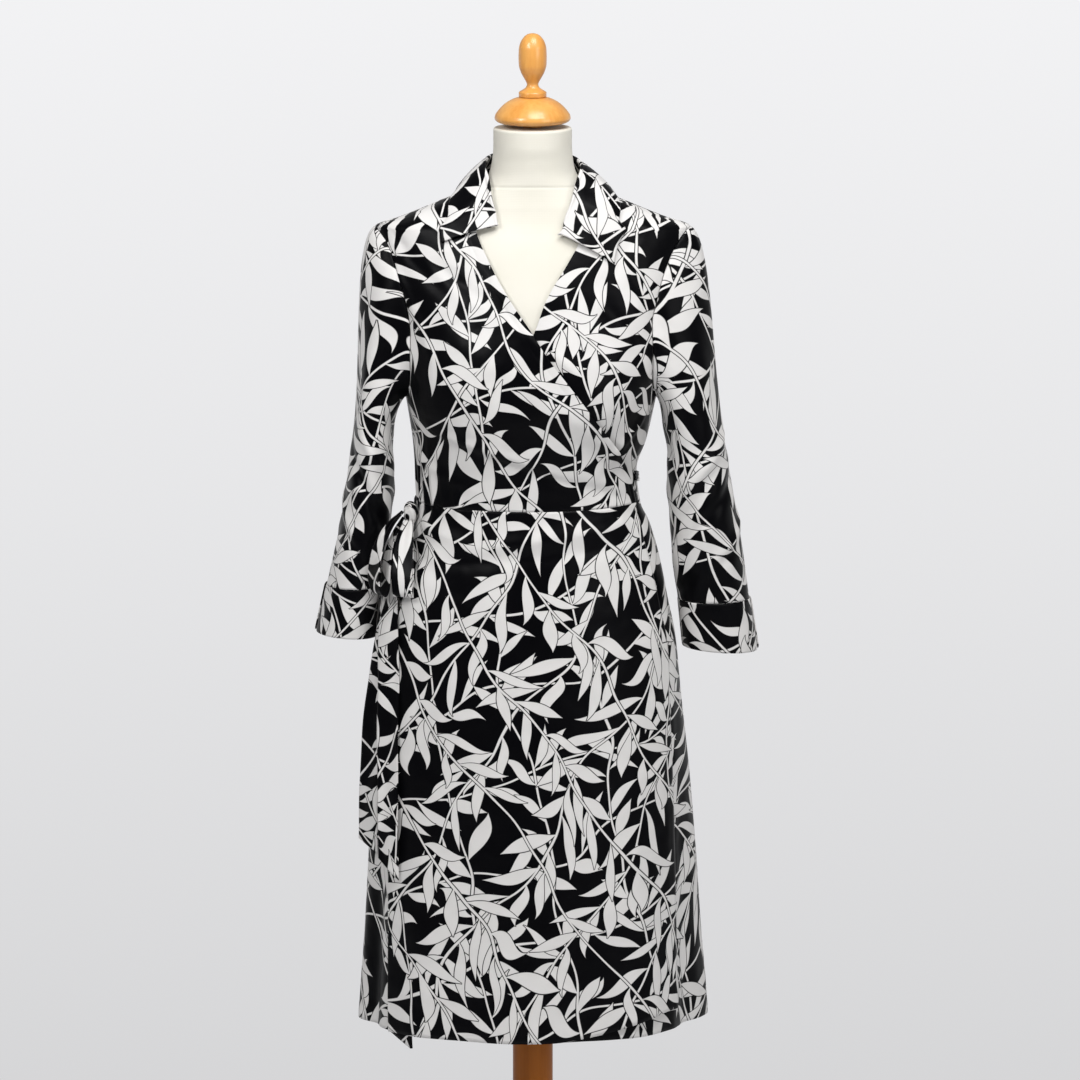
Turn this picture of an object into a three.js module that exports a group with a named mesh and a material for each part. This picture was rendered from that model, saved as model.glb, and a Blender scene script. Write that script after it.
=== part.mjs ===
import * as THREE from 'three';

// Wrap dress with a shirt collar on a limbless dress form, in millimetres, +Z up.
// The front faces -Y, and left and right are the viewer's.
// The origin is the centre of the base's underside, on the axis of the pole.
// A place on the body is a turn about the axis (0 front, 90 right, 180 back, -90 left, in degrees),
// a height z, and a distance off the cloth's base surface, which all the panels share.

// Cloth
const WALL = 1.2;
const SEAM_GAP = 0.3;
const SEAM_TURN = 0.09;
const WRAP_OFF = 2.6;

// Heights
const HEM_Z = 395;
const WAIST_Z = 1050;
const ARMPIT_Z = 1179;
const SHOULDER_TIP_Z = 1388;

// Form and stand
const FORM_BOTTOM_Z = 770;
const FORM_COLUMNS = 28;
const FORM_FOOT_SHARE = 0.93;
const NECK_TOP_Z = 1509.5;
const NECK_TOP_SHARE = 0.95;
const NECK_TOP_ROUND = 3;
const CAP_RISE = 4.9;
const CAP_SPINDLE_RADIUS = 12;
const POLE_RADIUS = 25;
const BASE_RADIUS = 190;
const BASE_HEIGHT = 26;
const BASE_ROUND = 8;
const BASE_FOOT_BEVEL = 2;
const TURNED_SEGMENTS = { base: 40, pole: 24, cap: 24, finial: 18 };

const DEGREE = Math.PI / 180;

// Half widths to each side and depths to the front and back of the cloth's base surface.
const BODY = table('z left right front back', [
  [384, 215.5, 215.5, 151, 151],
  [400, 215, 215, 150, 150],
  [509, 208, 207, 143, 143],
  [609, 203, 201, 136, 138],
  [712, 199, 193, 129, 134],
  [800, 195, 184, 122, 129],
  [875, 188, 177, 116, 123],
  [925, 178, 167, 111, 115],
  [975, 163, 157, 105, 104],
  [1020, 148, 144, 100, 92],
  [1044, 143, 133, 97, 86],
  [1087, 145, 128, 99, 82],
  [1125, 148, 140, 108, 85],
  [1179, 156, 152, 117, 91],
  [1230, 163, 162, 115, 96],
  [1290, 173, 172, 102, 97],
  [1340, 183, 182, 84, 88],
  [1375, 190, 190, 68, 72],
  [1388, 193, 193, 61, 63],
  [1400, 161, 161, 56, 59],
  [1415, 124, 124, 52, 56],
  [1431, 88, 88, 50, 54],
  [1442, 70, 70, 50, 54],
  [1455, 59, 59, 50, 53],
  [1470, 54, 54, 50, 51],
  [1490, 51, 51, 51, 51],
  [1515, 51, 51, 51, 51],
]);

// Round fullness over the bust.
const BUST = table('turn z halfTurn halfHeight lift', [
  [-36, 1196, 24, 55, 10],
  [36, 1196, 24, 55, 10],
]);

// Hanging folds of the skirt, each from A to B, with its lift at both ends and its half width.
const FOLDS = table('turnA zA liftA turnB zB liftB half', [
  [-72, 900, 0, -69, 384, -9, 14],
  [-84, 860, 0, -82, 384, 4, 16],
  [72, 880, 0, 69, 384, -17, 26],
  [106, 930, 0, 107, 384, 8, 26],
  [138, 880, 0, 140, 384, -7, 24],
  [172, 840, 0, 176, 384, 7, 28],
  [208, 900, 0, 206, 384, -7, 24],
  [240, 860, 0, 238, 384, 6, 24],
]);

// Creases that the wrap and the tie pull into the bodice, in the layers that show.
const CREASES = table('turnA zA liftA turnB zB liftB half', [
  [-30, 1256, 1, 44, 1120, 2.6, 12],
  [-44, 1216, 1, 50, 1096, -2, 12],
  [-58, 1176, 1, 52, 1072, 2.2, 12],
  [-74, 1128, -2, -22, 1150, 0, 12],
  [-66, 1250, 2.5, -50, 1180, 0, 13],
  [66, 1250, 2.5, 50, 1180, 0, 13],
  [120, 1110, 2.5, 160, 1090, 0, 14],
  [238, 1110, 2.5, 200, 1092, 0, 14],
]);
const UNDER_OFF = -2;
const UNDER_SETTLE_TURN = 6;
const FOLD_MM_PER_DEGREE = 2.4;
const FOLD_END_FADE = 22;

// Gathers over the left of the waist seam.
const GATHER_COUNT = 6;
const GATHER_FIRST_TURN = -80;
const GATHER_PITCH = 8;
const GATHER_LIFT = 2.4;
const GATHER_FADE = 42;
const GATHER_PEAK_RISE = 12;
const GATHER_FADE_BELOW = 14;
const GATHER_SHARE_BELOW = 0.75;

// Free edge of the over front, from the collar across the V to the right and down to the hem.
const OVER_EDGE = table('z turn', [
  [384, 59],
  [424, 60],
  [497, 61.6],
  [621, 63],
  [745, 65.6],
  [856, 68],
  [943, 66.7],
  [998, 64.5],
  [1031, 68],
  [1052, 71],
  [1072, 69],
  [1095, 62],
  [1116, 50],
  [1163, 30],
  [1206, 16.4],
  [1247, 5],
  [1270, 0],
  [1305, -8],
  [1321, -11.2],
  [1354, -16.6],
  [1380, -20],
  [1398, -21.5],
  [1415, -28],
  [1430, -41],
  [1442, -63],
]);

// Free edge of the under front, which crosses to the left beneath the over front.
const UNDER_EDGE = table('z turn', [
  [384, -34],
  [900, -38],
  [1052, -48],
  [1095, -46],
  [1116, -40],
  [1163, -26],
  [1206, -15],
  [1247, -5],
  [1270, 0.4],
  [1305, 4.8],
  [1322, 7.5],
  [1344, 11.9],
  [1370, 16.5],
  [1385, 18.7],
  [1398, 21.5],
  [1415, 28],
  [1430, 41],
  [1442, 63],
]);

// Deep lap in the over front below the bow: where it lies, how far the cloth turns over, its overlap.
const LAP = table('z turn theta lap', [
  [384, -54, 180, 33],
  [400, -54.5, 180, 33],
  [550, -58, 180, 22],
  [700, -60.5, 180, 12],
  [850, -63, 180, 5],
  [900, -63, 150, 3],
  [950, -62.5, 70, 2],
  [1010, -62.5, 0, 1.5],
  [1050, -62.5, 0, 1.5],
]);
const LAP_BENDS = [0, 0.25, 0.5, 0.75, 1, 1, 1, 0.8, 0.6, 0.4, 0.2, 0];
const LAP_INNER_STEPS = 4;
const LAP_OPEN_STEP = 1.4;
const LAP_COLUMNS_BEFORE = 6;
const LAP_COLUMNS_AFTER = 18;
const LAP_INNER_RADIUS = 0.7;
const LAP_OUTER_RADIUS = 1.9;
const LAP_POINT_DROP = 16;
const LAP_POINT_REACH = 34;
const LAP_SETTLE_TURN = 20;

// The over front's hem rises to the right, where the tie pulls it up.
const OVER_HEM_RISE = 26;
const OVER_HEM_RISE_FROM_TURN = 4;
const OVER_HEM_RISE_SWEEP = 52;

// The over front leaves the left side seam on the base surface and then lies over the under front.
const WRAP_FROM_TURN = -86;
const WRAP_SWEEP = 30;

const PANEL_COLUMNS = { bodiceOver: 22, bodiceUnder: 16, bodiceBack: 16, skirtUnder: 16, skirtBack: 20 };

// Armholes
const ARMHOLE_FRONT_TURN = 30;
const ARMHOLE_BACK_TURN = 28;
const ARMHOLE_ROUNDNESS = 0.6;

// Sleeve sections below the armhole: inner and outer reach from the axis, half depth, middle.
const SLEEVES = {
  left: {
    side: -1,
    rows: table('z inner outer half middle', [
      [1138, 170, 221, 56, 0],
      [1100, 171.5, 226, 54, -1],
      [1060, 173, 231, 52, -2],
      [1020, 175, 237, 50, -3],
      [985, 179, 245, 48, -4],
      [945, 185, 254, 45, -5],
      [882, 193, 268, 43, -6],
    ]),
    cuffTop: 944,
    cuffTilt: 6,
  },
  right: {
    side: 1,
    rows: table('z inner outer half middle', [
      [1138, 160, 233, 50, 1],
      [1100, 166, 240, 49, 2],
      [1060, 168, 247, 48, 4],
      [1020, 169, 254, 47, 6],
      [975, 172, 261, 45, 9],
      [924, 179, 268, 43, 12],
      [860, 186, 278, 42, 15],
    ]),
    cuffTop: 923,
    cuffTilt: -6,
  },
};
const SLEEVE_CAP_RINGS = 6;
const SLEEVE_ARM_RINGS = 7;

// How the cap leaves the armhole: its direction, its pull at mid height and what the top adds.
const CAP_LEAVE = { side: 0.93, forward: 0.3, down: 0.12, downAtTop: 0.34, pull: 54, pullAtTop: 35 };
const CAP_SEAM_OFF = 0.4;
const SLEEVE_ARRIVE_DROP = 6;

// Cuffs lap over themselves at the outside, on a stand-off that grows over the last degrees.
const CUFF_LAP_DEGREES = 16;
const CUFF_LAP_OFF = 2.3;
const CUFF_LAP_FROM = 320;
const CUFF_LAP_SWEEP = 34;
const CUFF_CORNER = 6;
const CUFF_OFF = 0.6;
const CUFF_SEAM_DROP = 0.8;
const CUFF_ROWS = 3;
const CUFF_COLUMNS = 20;
const SLEEVE_FOLDS = table('aroundA zA aroundB zB lift half', [
  [60, 1250, 150, 1120, -5, 14],
  [100, 1190, 190, 1060, 4, 13],
  [250, 1230, 190, 1090, -4, 14],
  [70, 1080, 160, 1000, -3, 12],
  [300, 1060, 220, 990, 3, 12],
]);
const SLEEVE_MM_PER_DEGREE = 0.75;

// Collar stations from the left front end round the back of the neck to the right front end.
// Each has its foot on the neck seam, its roll and its outer edge.
const COLLAR = table('footTurn footZ rollTurn rollZ rollOff edgeTurn edgeZ edgeOff', [
  [-17.6, 1393, -13.5, 1395, 6, -35.7, 1374, 5.6],
  [-24.0, 1412, -20.5, 1413, 7, -35.5, 1388, 5.6],
  [-36.5, 1429, -32, 1429, 7.5, -41, 1402, 5.6],
  [-61, 1443.4, -60, 1453, 4, -64, 1421, 5.4],
  [-90, 1443, -88, 1467, 3.5, -90, 1429, 4.5],
  [-130, 1443, -130, 1474, 3, -128, 1425, 5],
  [-180, 1443, -180, 1476, 3, -180, 1418, 6],
  [-230, 1443, -230, 1472, 3, -232, 1424, 5],
  [-270, 1443, -272, 1463, 3.5, -270, 1426, 4.5],
  [-299, 1443.4, -300, 1451, 4, -306, 1412, 4],
  [-323.5, 1429, -330, 1428, 7, -323, 1393, 3],
  [-336.0, 1410, -344, 1407, 6, -327, 1369, 3],
  [-343, 1388, -351, 1384, 5, -327.5, 1350, 3],
]);
const COLLAR_ROLL_RADIUS = 2.4;
const COLLAR_COLUMNS = 24;
const STAND_STEPS = 2;
const ROLL_STEPS = 4;
const LEAF_STEPS = 4;
const LEAF_BULGE = 0.1;

// Tie
const TIE_WALL = 1.4;
const TIE_PATH = table('turn z off half', [
  [73.5, 1083, 3.6, 6.5],
  [90, 1077, 3, 6],
  [120, 1071, 3, 9],
  [180, 1060, 3, 11],
  [240, 1049, 3, 9],
  [262, 1044, 3.2, 7],
  [274, 1041, 3.4, 6],
]);
const TIE_BAND_STEPS = 24;
const LOOP_STEPS = 23;
const TAIL_STEPS = 14;
const TAIL_CUT_STEPS = 3;
const KNOT = { turn: -77, z: 1037, off: 10.7, thick: 8.6, along: 10.9, tall: 17.4 };
const KNOT_SEGMENTS = [14, 8];

// Bow loops: place from the knot's centre, direction across and half width.
const LOOPS = {
  tie_loop_front: table('x y z acrossX acrossY half', [
    [-2, -9, -12, 1, -0.1, 6],
    [-6, -26, -27, 1, -0.15, 10],
    [-9, -44, -52, 0.97, -0.2, 12.5],
    [-10, -54, -74, 0.93, -0.3, 13],
    [-9, -58, -91, 0.9, -0.35, 13],
    [-8, -54, -97, 0.9, -0.35, 13],
    [-8, -48, -90, 0.9, -0.35, 12.5],
    [-7, -42, -70, 0.93, -0.3, 12],
    [-5, -25, -44, 0.97, -0.2, 9],
    [-1, -6, -16, 1, -0.1, 5],
  ]),
  tie_loop_side: table('x y z acrossX acrossY half', [
    [-9.6, -1, -2, 0.3, -0.95, 5],
    [-22, -19, -12, 0.4, -0.92, 9],
    [-34, -38, -30, 0.48, -0.88, 12],
    [-42, -44, -54, 0.5, -0.87, 13],
    [-44, -42, -76, 0.5, -0.87, 14],
    [-41, -42, -92, 0.5, -0.87, 13],
    [-36, -41, -97, 0.5, -0.87, 13],
    [-32, -40, -87, 0.5, -0.87, 12],
    [-30, -37, -66, 0.5, -0.87, 10],
    [-27, -28, -44, 0.48, -0.88, 8],
    [-20, -14, -25, 0.4, -0.92, 6],
    [-9.2, -2, -8, 0.3, -0.95, 4],
  ]),
};

// Tails, which hang from the knot in front of the skirt's side to a slanted cut.
const TAILS = {
  tie_tail_front: {
    cut: 24,
    rows: table('z x y across half', [
      [1021.4, -152.4, -27.4, -15, 5],
      [1000, -158, -36, -35, 6],
      [965, -166, -48, -55, 9],
      [935, -173, -54, -48, 10],
      [900, -177, -60, -36, 14],
      [840, -177, -64, -32, 15],
      [760, -178, -72, -32, 15],
      [680, -178, -80, -32, 15],
      [600, -178, -86, -32, 15],
    ]),
  },
  tie_tail_side: {
    cut: 14,
    rows: table('z x y across half', [
      [1023, -160, -22, -50, 4],
      [985, -171, -28, -55, 6],
      [945, -179, -36, -55, 8],
      [890, -185, -43, -48, 10],
      [840, -190, -46, -42, 13.5],
      [760, -198, -46, -38, 15],
      [690, -202, -46, -38, 15],
      [621, -204, -46, -38, 15],
    ]),
  },
};

// How far the form lies inside the cloth's base surface, and how far its shoulder ends draw in.
const FORM_INSET = table('z inset shoulder', [
  [740, 14, 0],
  [830, 11, 0],
  [900, 8, 0],
  [1050, 5.5, 0],
  [1179, 6, 0],
  [1230, 6, 5],
  [1290, 6, 9],
  [1340, 5, 12],
  [1375, 3, 14],
  [1386, 2.5, 12],
  [1396, 2.5, 3],
  [1404, 2.4, 0],
  [1414, 2.3, 0],
  [1425, 3, 0],
  [1440, 5, 0],
  [1455, 5.5, 0],
  [1470, 4.5, 0],
  [1490, 3, 0],
  [1515, 3, 0],
]);

const FORM_BUST_SHARE = 0.6;
const FORM_SHOULDER_POWER = 6;

// Domed cap above its spindle, and the finial: a ring, a narrow neck and a blunt egg.
const CAP_PROFILE = table('z radius', [
  [0, 38],
  [1, 41.5],
  [2.3, 44.1],
  [4.2, 45.9],
  [6.2, 46.6],
  [10, 45.8],
  [13.8, 43.4],
  [18, 40],
  [21.7, 36.3],
  [25.4, 31.6],
  [28.4, 26.4],
  [30.6, 21],
  [31.8, 16],
]);
const FINIAL_PROFILE = table('z radius', [
  [0, 16.4],
  [0.7, 17],
  [5.4, 17],
  [8.6, 12.4],
  [11.5, 8.4],
  [15.4, 7],
  [17.9, 7.8],
  [23, 10.6],
  [30.1, 14.4],
  [38.7, 16.9],
  [48.8, 17.3],
  [58.8, 16.9],
  [67.4, 14.5],
  [74, 9.8],
  [77.2, 4.6],
]);
const CAP_HEIGHT = CAP_RISE + 31.8;
const FINIAL_HEIGHT = 77.8;

const SKIRT_Z = [1049.7, 1030, 1010, 985, 955, 925, 895, 860, 810, 750, 680, 600, 530, 465, HEM_Z];
const BODICE_Z = [
  1050, 1068, 1090, 1115, 1145, 1179, 1191, 1208, 1238, 1275, 1312, 1342, 1364, 1379, 1388,
  1398, 1408, 1420, 1431, 1442,
];
const FORM_Z = [
  785, 850, 920, 985, 1020, 1044, 1066, 1087, 1110, 1150, 1196, 1240, 1290, 1340, 1370,
  1384, 1392, 1400, 1415, 1431, 1445, 1465, 1488,
];

const FABRIC = { color: '#1d1c22', roughness: 0.62, metalness: 0 };
const COVER = { color: '#f1eee2', roughness: 0.85, metalness: 0 };
const HONEY_WOOD = { color: '#e3a656', roughness: 0.38, metalness: 0 };
const POLE_WOOD = { color: '#a66c2c', roughness: 0.42, metalness: 0 };

/** Rows of numbers as objects with the named columns. */
function table(names, rows) {
  const keys = names.split(' ');
  return rows.map((row) => Object.fromEntries(keys.map((key, i) => [key, row[i]])));
}

/** Slope of a column at a row, level at a peak, so that the curve never overshoots. */
function slopeAt(rows, key, column, i) {
  const rise = (a, b) => (b[column] - a[column]) / (b[key] - a[key]);
  if (i === 0) {
    return rise(rows[0], rows[1]);
  }
  const before = rise(rows[i - 1], rows[i]);
  if (i === rows.length - 1) {
    return before;
  }
  const after = rise(rows[i], rows[i + 1]);
  return before * after <= 0 ? 0 : (2 * before * after) / (before + after);
}

/** All columns of a table at a value of its key column, on smooth curves through the rows. */
function follow(rows, key, at) {
  let i = 0;
  while (i < rows.length - 2 && (rows[i + 1][key] - at) * (rows[1][key] - rows[0][key]) < 0) {
    i += 1;
  }
  const span = rows[i + 1][key] - rows[i][key];
  const s = THREE.MathUtils.clamp((at - rows[i][key]) / span, 0, 1);
  const result = {};
  for (const column of Object.keys(rows[0])) {
    const from = rows[i][column];
    const to = rows[i + 1][column];
    const start = slopeAt(rows, key, column, i) * span;
    const end = slopeAt(rows, key, column, i + 1) * span;
    const bend = start * (1 - s) + (from - to) * (1 - 2 * s) - end * s;
    result[column] = from + (to - from) * s + s * (1 - s) * bend;
  }
  result[key] = at;
  return result;
}

/** Smooth step from 0 to 1. */
function ease(value) {
  return THREE.MathUtils.smoothstep(value, 0, 1);
}

/** Bell curve of width 1. */
function bell(value) {
  return Math.exp(-value * value);
}

/** Difference of two turns, from -180 to 180. */
function turnBetween(a, b) {
  return THREE.MathUtils.euclideanModulo(a - b + 180, 360) - 180;
}

/** Height of one soft fold at a place, from its distance to the fold's line. */
function foldLift(u, z, uB, zA, zB, liftA, liftB, half) {
  const length = Math.hypot(uB, zB - zA);
  const along = (u * uB + (z - zA) * (zB - zA)) / length;
  const aside = (u * (zB - zA) - (z - zA) * uB) / length;
  const beyond = Math.max(-along, along - length, 0);
  const share = THREE.MathUtils.clamp(along / length, 0, 1);
  return (liftA + (liftB - liftA) * share) * bell(aside / half) * bell(beyond / FOLD_END_FADE);
}

/** Sum of the lifts of a table of folds at a place. */
function foldsLift(folds, turn, z) {
  let lift = 0;
  for (const f of folds) {
    const u = turnBetween(turn, f.turnA) * FOLD_MM_PER_DEGREE;
    const uB = turnBetween(f.turnB, f.turnA) * FOLD_MM_PER_DEGREE;
    lift += foldLift(u, z, uB, f.zA, f.zB, f.liftA, f.liftB, f.half);
  }
  return lift;
}

/** Fullness over the bust at a place. */
function bustLift(turn, z) {
  let lift = 0;
  for (const b of BUST) {
    lift += b.lift * bell(turnBetween(turn, b.turn) / b.halfTurn) * bell((z - b.z) / b.halfHeight);
  }
  return lift;
}

/** How far the drape of the cloth lifts the base surface, where its creases show by a share. */
function drape(turn, z, creased) {
  const creases = creased * (foldsLift(CREASES, turn, z) + gathers(turn, z));
  return bustLift(turn, z) + foldsLift(FOLDS, turn, z) + creases;
}

/** Small gathers that fade out above and below the left of the waist seam. */
function gathers(turn, z) {
  const last = GATHER_FIRST_TURN + (GATHER_COUNT - 1) * GATHER_PITCH;
  const within = turn > GATHER_FIRST_TURN - GATHER_PITCH && turn < last + GATHER_PITCH;
  const above = bell((z - WAIST_Z - GATHER_PEAK_RISE) / GATHER_FADE);
  const below = bell((WAIST_Z - z) / GATHER_FADE_BELOW) * GATHER_SHARE_BELOW;
  const fade = z > WAIST_Z ? above : below;
  const wave = 0.5 + 0.5 * Math.cos(((turn - GATHER_FIRST_TURN) / GATHER_PITCH) * 2 * Math.PI);
  const ends = ease((turn - GATHER_FIRST_TURN + GATHER_PITCH) / GATHER_PITCH)
    * ease((last + GATHER_PITCH - turn) / GATHER_PITCH);
  return within ? GATHER_LIFT * wave * fade * ends : 0;
}

/** Point of the plain oval section at a turn and height. */
function ovalPoint(turn, z) {
  const s = follow(BODY, 'z', z);
  const sin = Math.sin(turn * DEGREE);
  const cos = Math.cos(turn * DEGREE);
  const wide = sin < 0 ? s.left : s.right;
  const deep = cos < 0 ? s.back : s.front;
  return new THREE.Vector3(wide * sin, -deep * cos, z);
}

/** Direction straight out of the base surface. */
function bodyNormal(turn, z) {
  const alongTurn = ovalPoint(turn + 0.5, z).sub(ovalPoint(turn - 0.5, z));
  const alongHeight = ovalPoint(turn, z + 1).sub(ovalPoint(turn, z - 1));
  return alongTurn.cross(alongHeight).normalize();
}

/** Point at a turn, a height and a distance off the draped base surface. */
function bodyPoint(turn, z, off, creased = 1) {
  return ovalPoint(turn, z).addScaledVector(bodyNormal(turn, z), off + drape(turn, z, creased));
}

/** Millimetres along the section for one degree of turn. */
function stretchPerDegree(turn, z) {
  return ovalPoint(turn + 0.5, z).distanceTo(ovalPoint(turn - 0.5, z));
}

/** Closed solid between a grid of face points and the grid behind it. */
function shell(face, back, ring = false) {
  const rows = face.length;
  const columns = face[0].length;
  const positions = [...face.flat(), ...back.flat()].flatMap((p) => [p.x, p.y, p.z]);
  const id = (layer, i, j) => layer * rows * columns + i * columns + (j % columns);
  const index = [];
  const quad = (a, b, c, d) => index.push(a, b, c, a, c, d);
  const steps = ring ? columns : columns - 1;
  for (let i = 0; i < rows - 1; i += 1) {
    for (let j = 0; j < steps; j += 1) {
      quad(id(0, i, j), id(0, i, j + 1), id(0, i + 1, j + 1), id(0, i + 1, j));
      quad(id(1, i, j), id(1, i + 1, j), id(1, i + 1, j + 1), id(1, i, j + 1));
    }
  }
  for (let j = 0; j < steps; j += 1) {
    quad(id(0, 0, j + 1), id(0, 0, j), id(1, 0, j), id(1, 0, j + 1));
    quad(id(0, rows - 1, j), id(0, rows - 1, j + 1), id(1, rows - 1, j + 1), id(1, rows - 1, j));
  }
  for (let i = 0; i < rows - 1 && !ring; i += 1) {
    quad(id(0, i, 0), id(0, i + 1, 0), id(1, i + 1, 0), id(1, i, 0));
    quad(id(0, i + 1, columns - 1), id(0, i, columns - 1), id(1, i, columns - 1), id(1, i + 1, columns - 1));
  }
  return solid(positions, index);
}

/** Geometry from points and triangles, turned so that its faces point out. */
function solid(positions, index) {
  const geometry = new THREE.BufferGeometry();
  geometry.setAttribute('position', new THREE.Float32BufferAttribute(positions, 3));
  const point = (i) => new THREE.Vector3().fromArray(positions, index[i] * 3);
  let volume = 0;
  for (let i = 0; i < index.length; i += 3) {
    volume += point(i).dot(point(i + 1).cross(point(i + 2)));
  }
  geometry.setIndex(volume < 0 ? index.toReversed() : index);
  geometry.computeVertexNormals();
  return geometry;
}

/** Sum of the directions to the next and from the last point of a line of points. */
function lineDirection(points, i, ring) {
  const count = points.length;
  const last = ring ? points[(i + count - 1) % count] : points[Math.max(i - 1, 0)];
  const next = ring ? points[(i + 1) % count] : points[Math.min(i + 1, count - 1)];
  const before = points[i].clone().sub(last).normalize();
  const after = next.clone().sub(points[i]).normalize();
  return before.add(after).normalize();
}

/** Grid that lies behind the face by a wall's thickness, measured square to the face. */
function behind(face, thickness, ring = false) {
  return face.map((row, i) => row.map((p, j) => {
    const across = lineDirection(row, j, ring);
    const along = lineDirection(face.map((other) => other[j]), i, false);
    return p.clone().addScaledVector(across.cross(along).normalize(), -thickness);
  }));
}

/** Panel of the body between two turns in each row of heights. */
function panel(heights, columns, turnsAt, offAt, creasedAt = () => 1) {
  const build = (depth) => heights.map((z) => {
    const [from, to] = turnsAt(z);
    return Array.from({ length: columns + 1 }, (_, j) => {
      const turn = from + ((to - from) * j) / columns;
      return bodyPoint(turn, z, offAt(turn, z) - depth, creasedAt(turn, z));
    });
  });
  return shell(build(0), build(WALL));
}

/** How open the armhole is at a height, 0 at the armpit and the shoulder tip, about 1 between. */
function armholeOpen(z) {
  const middle = (ARMPIT_Z + SHOULDER_TIP_Z) / 2;
  const share = (z - middle) / (SHOULDER_TIP_Z - middle);
  return Math.abs(share) >= 1 ? 0 : Math.sqrt(1 - share * share) ** ARMHOLE_ROUNDNESS;
}

/** Turn of the front's edge at the side seam, armhole and shoulder, on the right. */
function frontSideTurn(z) {
  return 90 - ARMHOLE_FRONT_TURN * armholeOpen(z) - SEAM_TURN;
}

/** Turn of the back's edge at the side seam, armhole and shoulder, on the right. */
function backSideTurn(z) {
  return 90 + ARMHOLE_BACK_TURN * armholeOpen(z) + SEAM_TURN;
}

/** Distance of the over front from the base surface, which grows from the left side seam. */
function overOff(turn) {
  return WRAP_OFF * ease((turn - WRAP_FROM_TURN) / WRAP_SWEEP);
}

/** Over front of the bodice, from the left side seam to the crossed edge. */
function overBodice() {
  const turns = (z) => [-frontSideTurn(z), follow(OVER_EDGE, 'z', z).turn];
  return panel(BODICE_Z, PANEL_COLUMNS.bodiceOver, turns, overOff);
}

/** How far the under front has come out from beneath the over front, from 0 to 1. */
function underShown(turn, z) {
  return ease((turn - follow(OVER_EDGE, 'z', z).turn) / UNDER_SETTLE_TURN);
}

/** Distance of the under front from the base surface, deeper where the over front covers it. */
function underOff(turn, z) {
  return UNDER_OFF * (1 - underShown(turn, z));
}

/** Under front of the bodice, from its hidden edge to the right side seam. */
function underBodice() {
  const turns = (z) => [follow(UNDER_EDGE, 'z', z).turn, frontSideTurn(z)];
  return panel(BODICE_Z, PANEL_COLUMNS.bodiceUnder, turns, underOff, underShown);
}

/** Back of the bodice between the side seams, armholes and shoulders. */
function backBodice() {
  const turns = (z) => [backSideTurn(z), 360 - backSideTurn(z)];
  return panel(BODICE_Z, PANEL_COLUMNS.bodiceBack, turns, () => 0);
}

/** Back of the skirt. */
function backSkirt() {
  const turns = () => [90 + SEAM_TURN, 270 - SEAM_TURN];
  return panel(SKIRT_Z, PANEL_COLUMNS.skirtBack, turns, () => 0);
}

/** Under front of the skirt. */
function underSkirt() {
  const turns = (z) => [follow(UNDER_EDGE, 'z', z).turn, 90 - SEAM_TURN];
  return panel(SKIRT_Z, PANEL_COLUMNS.skirtUnder, turns, underOff, underShown);
}

/** Line of the lap across the cloth: distance along, distance off and heading at each point. */
function lapLine(theta, lap) {
  const open = LAP_OPEN_STEP * (1 - theta / 180);
  const line = [{ along: 0, off: 0, heading: 0 }];
  for (let i = 1; i < LAP_BENDS.length; i += 1) {
    const last = line[i - 1];
    const turned = Math.abs(LAP_BENDS[i] - LAP_BENDS[i - 1]) * theta * DEGREE;
    const radius = i <= LAP_INNER_STEPS ? LAP_INNER_RADIUS : LAP_OUTER_RADIUS;
    const lapped = LAP_BENDS[i] === 1 && i > LAP_INNER_STEPS ? lap / 2 : 0;
    const length = open + radius * turned + lapped;
    const heading = ((LAP_BENDS[i] + LAP_BENDS[i - 1]) / 2) * theta * DEGREE;
    line.push({
      along: last.along + length * Math.cos(heading),
      off: last.off + length * Math.sin(heading),
      heading: LAP_BENDS[i] * theta * DEGREE,
    });
  }
  return line;
}

/** Height of the over skirt's hem: level, up at the right, and down to a point inside the lap. */
function overHem(turn, fromLap) {
  const rise = OVER_HEM_RISE * ease((turn - OVER_HEM_RISE_FROM_TURN) / OVER_HEM_RISE_SWEEP);
  const drop = LAP_POINT_DROP * Math.max(0, 1 - Math.abs(fromLap) / LAP_POINT_REACH);
  return HEM_Z + rise - drop;
}

/** One row of the over skirt: its places on the face and, a wall deeper, on the back. */
function overSkirtRow(level) {
  const share = (SKIRT_Z[0] - level) / (SKIRT_Z[0] - HEM_Z);
  const lap = follow(LAP, 'z', level);
  const scale = stretchPerDegree(lap.turn, level);
  const line = lapLine(lap.theta, lap.lap);
  const start = lap.turn + lap.lap / scale;
  const folded = lap.theta / 180;
  const footOff = overOff(start) * (1 - folded);
  const end = line[line.length - 1];
  const edge = follow(OVER_EDGE, 'z', level).turn;
  const places = [];
  const seam = -90 + SEAM_TURN;
  for (let j = 0; j < LAP_COLUMNS_BEFORE; j += 1) {
    const turn = seam + ((start - seam) * j) / LAP_COLUMNS_BEFORE;
    places.push({ turn, off: overOff(turn) * (1 - folded), heading: 0, fromLap: (start - turn) * scale });
  }
  for (const point of line) {
    const turn = start + point.along / scale;
    places.push({ turn, off: footOff + point.off, heading: point.heading, fromLap: point.along });
  }
  const from = start + end.along / scale;
  for (let j = 1; j <= LAP_COLUMNS_AFTER; j += 1) {
    const turn = from + ((edge - from) * j) / LAP_COLUMNS_AFTER;
    const settled = ease((turn - from) / LAP_SETTLE_TURN);
    const off = (footOff + end.off) * (1 - settled) + WRAP_OFF * settled;
    places.push({ turn, off, heading: 0, fromLap: LAP_POINT_REACH });
  }
  return places.map((place) => {
    const hem = overHem(place.turn, place.fromLap);
    return { ...place, scale, z: SKIRT_Z[0] + (hem - SKIRT_Z[0]) * share };
  });
}

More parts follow.
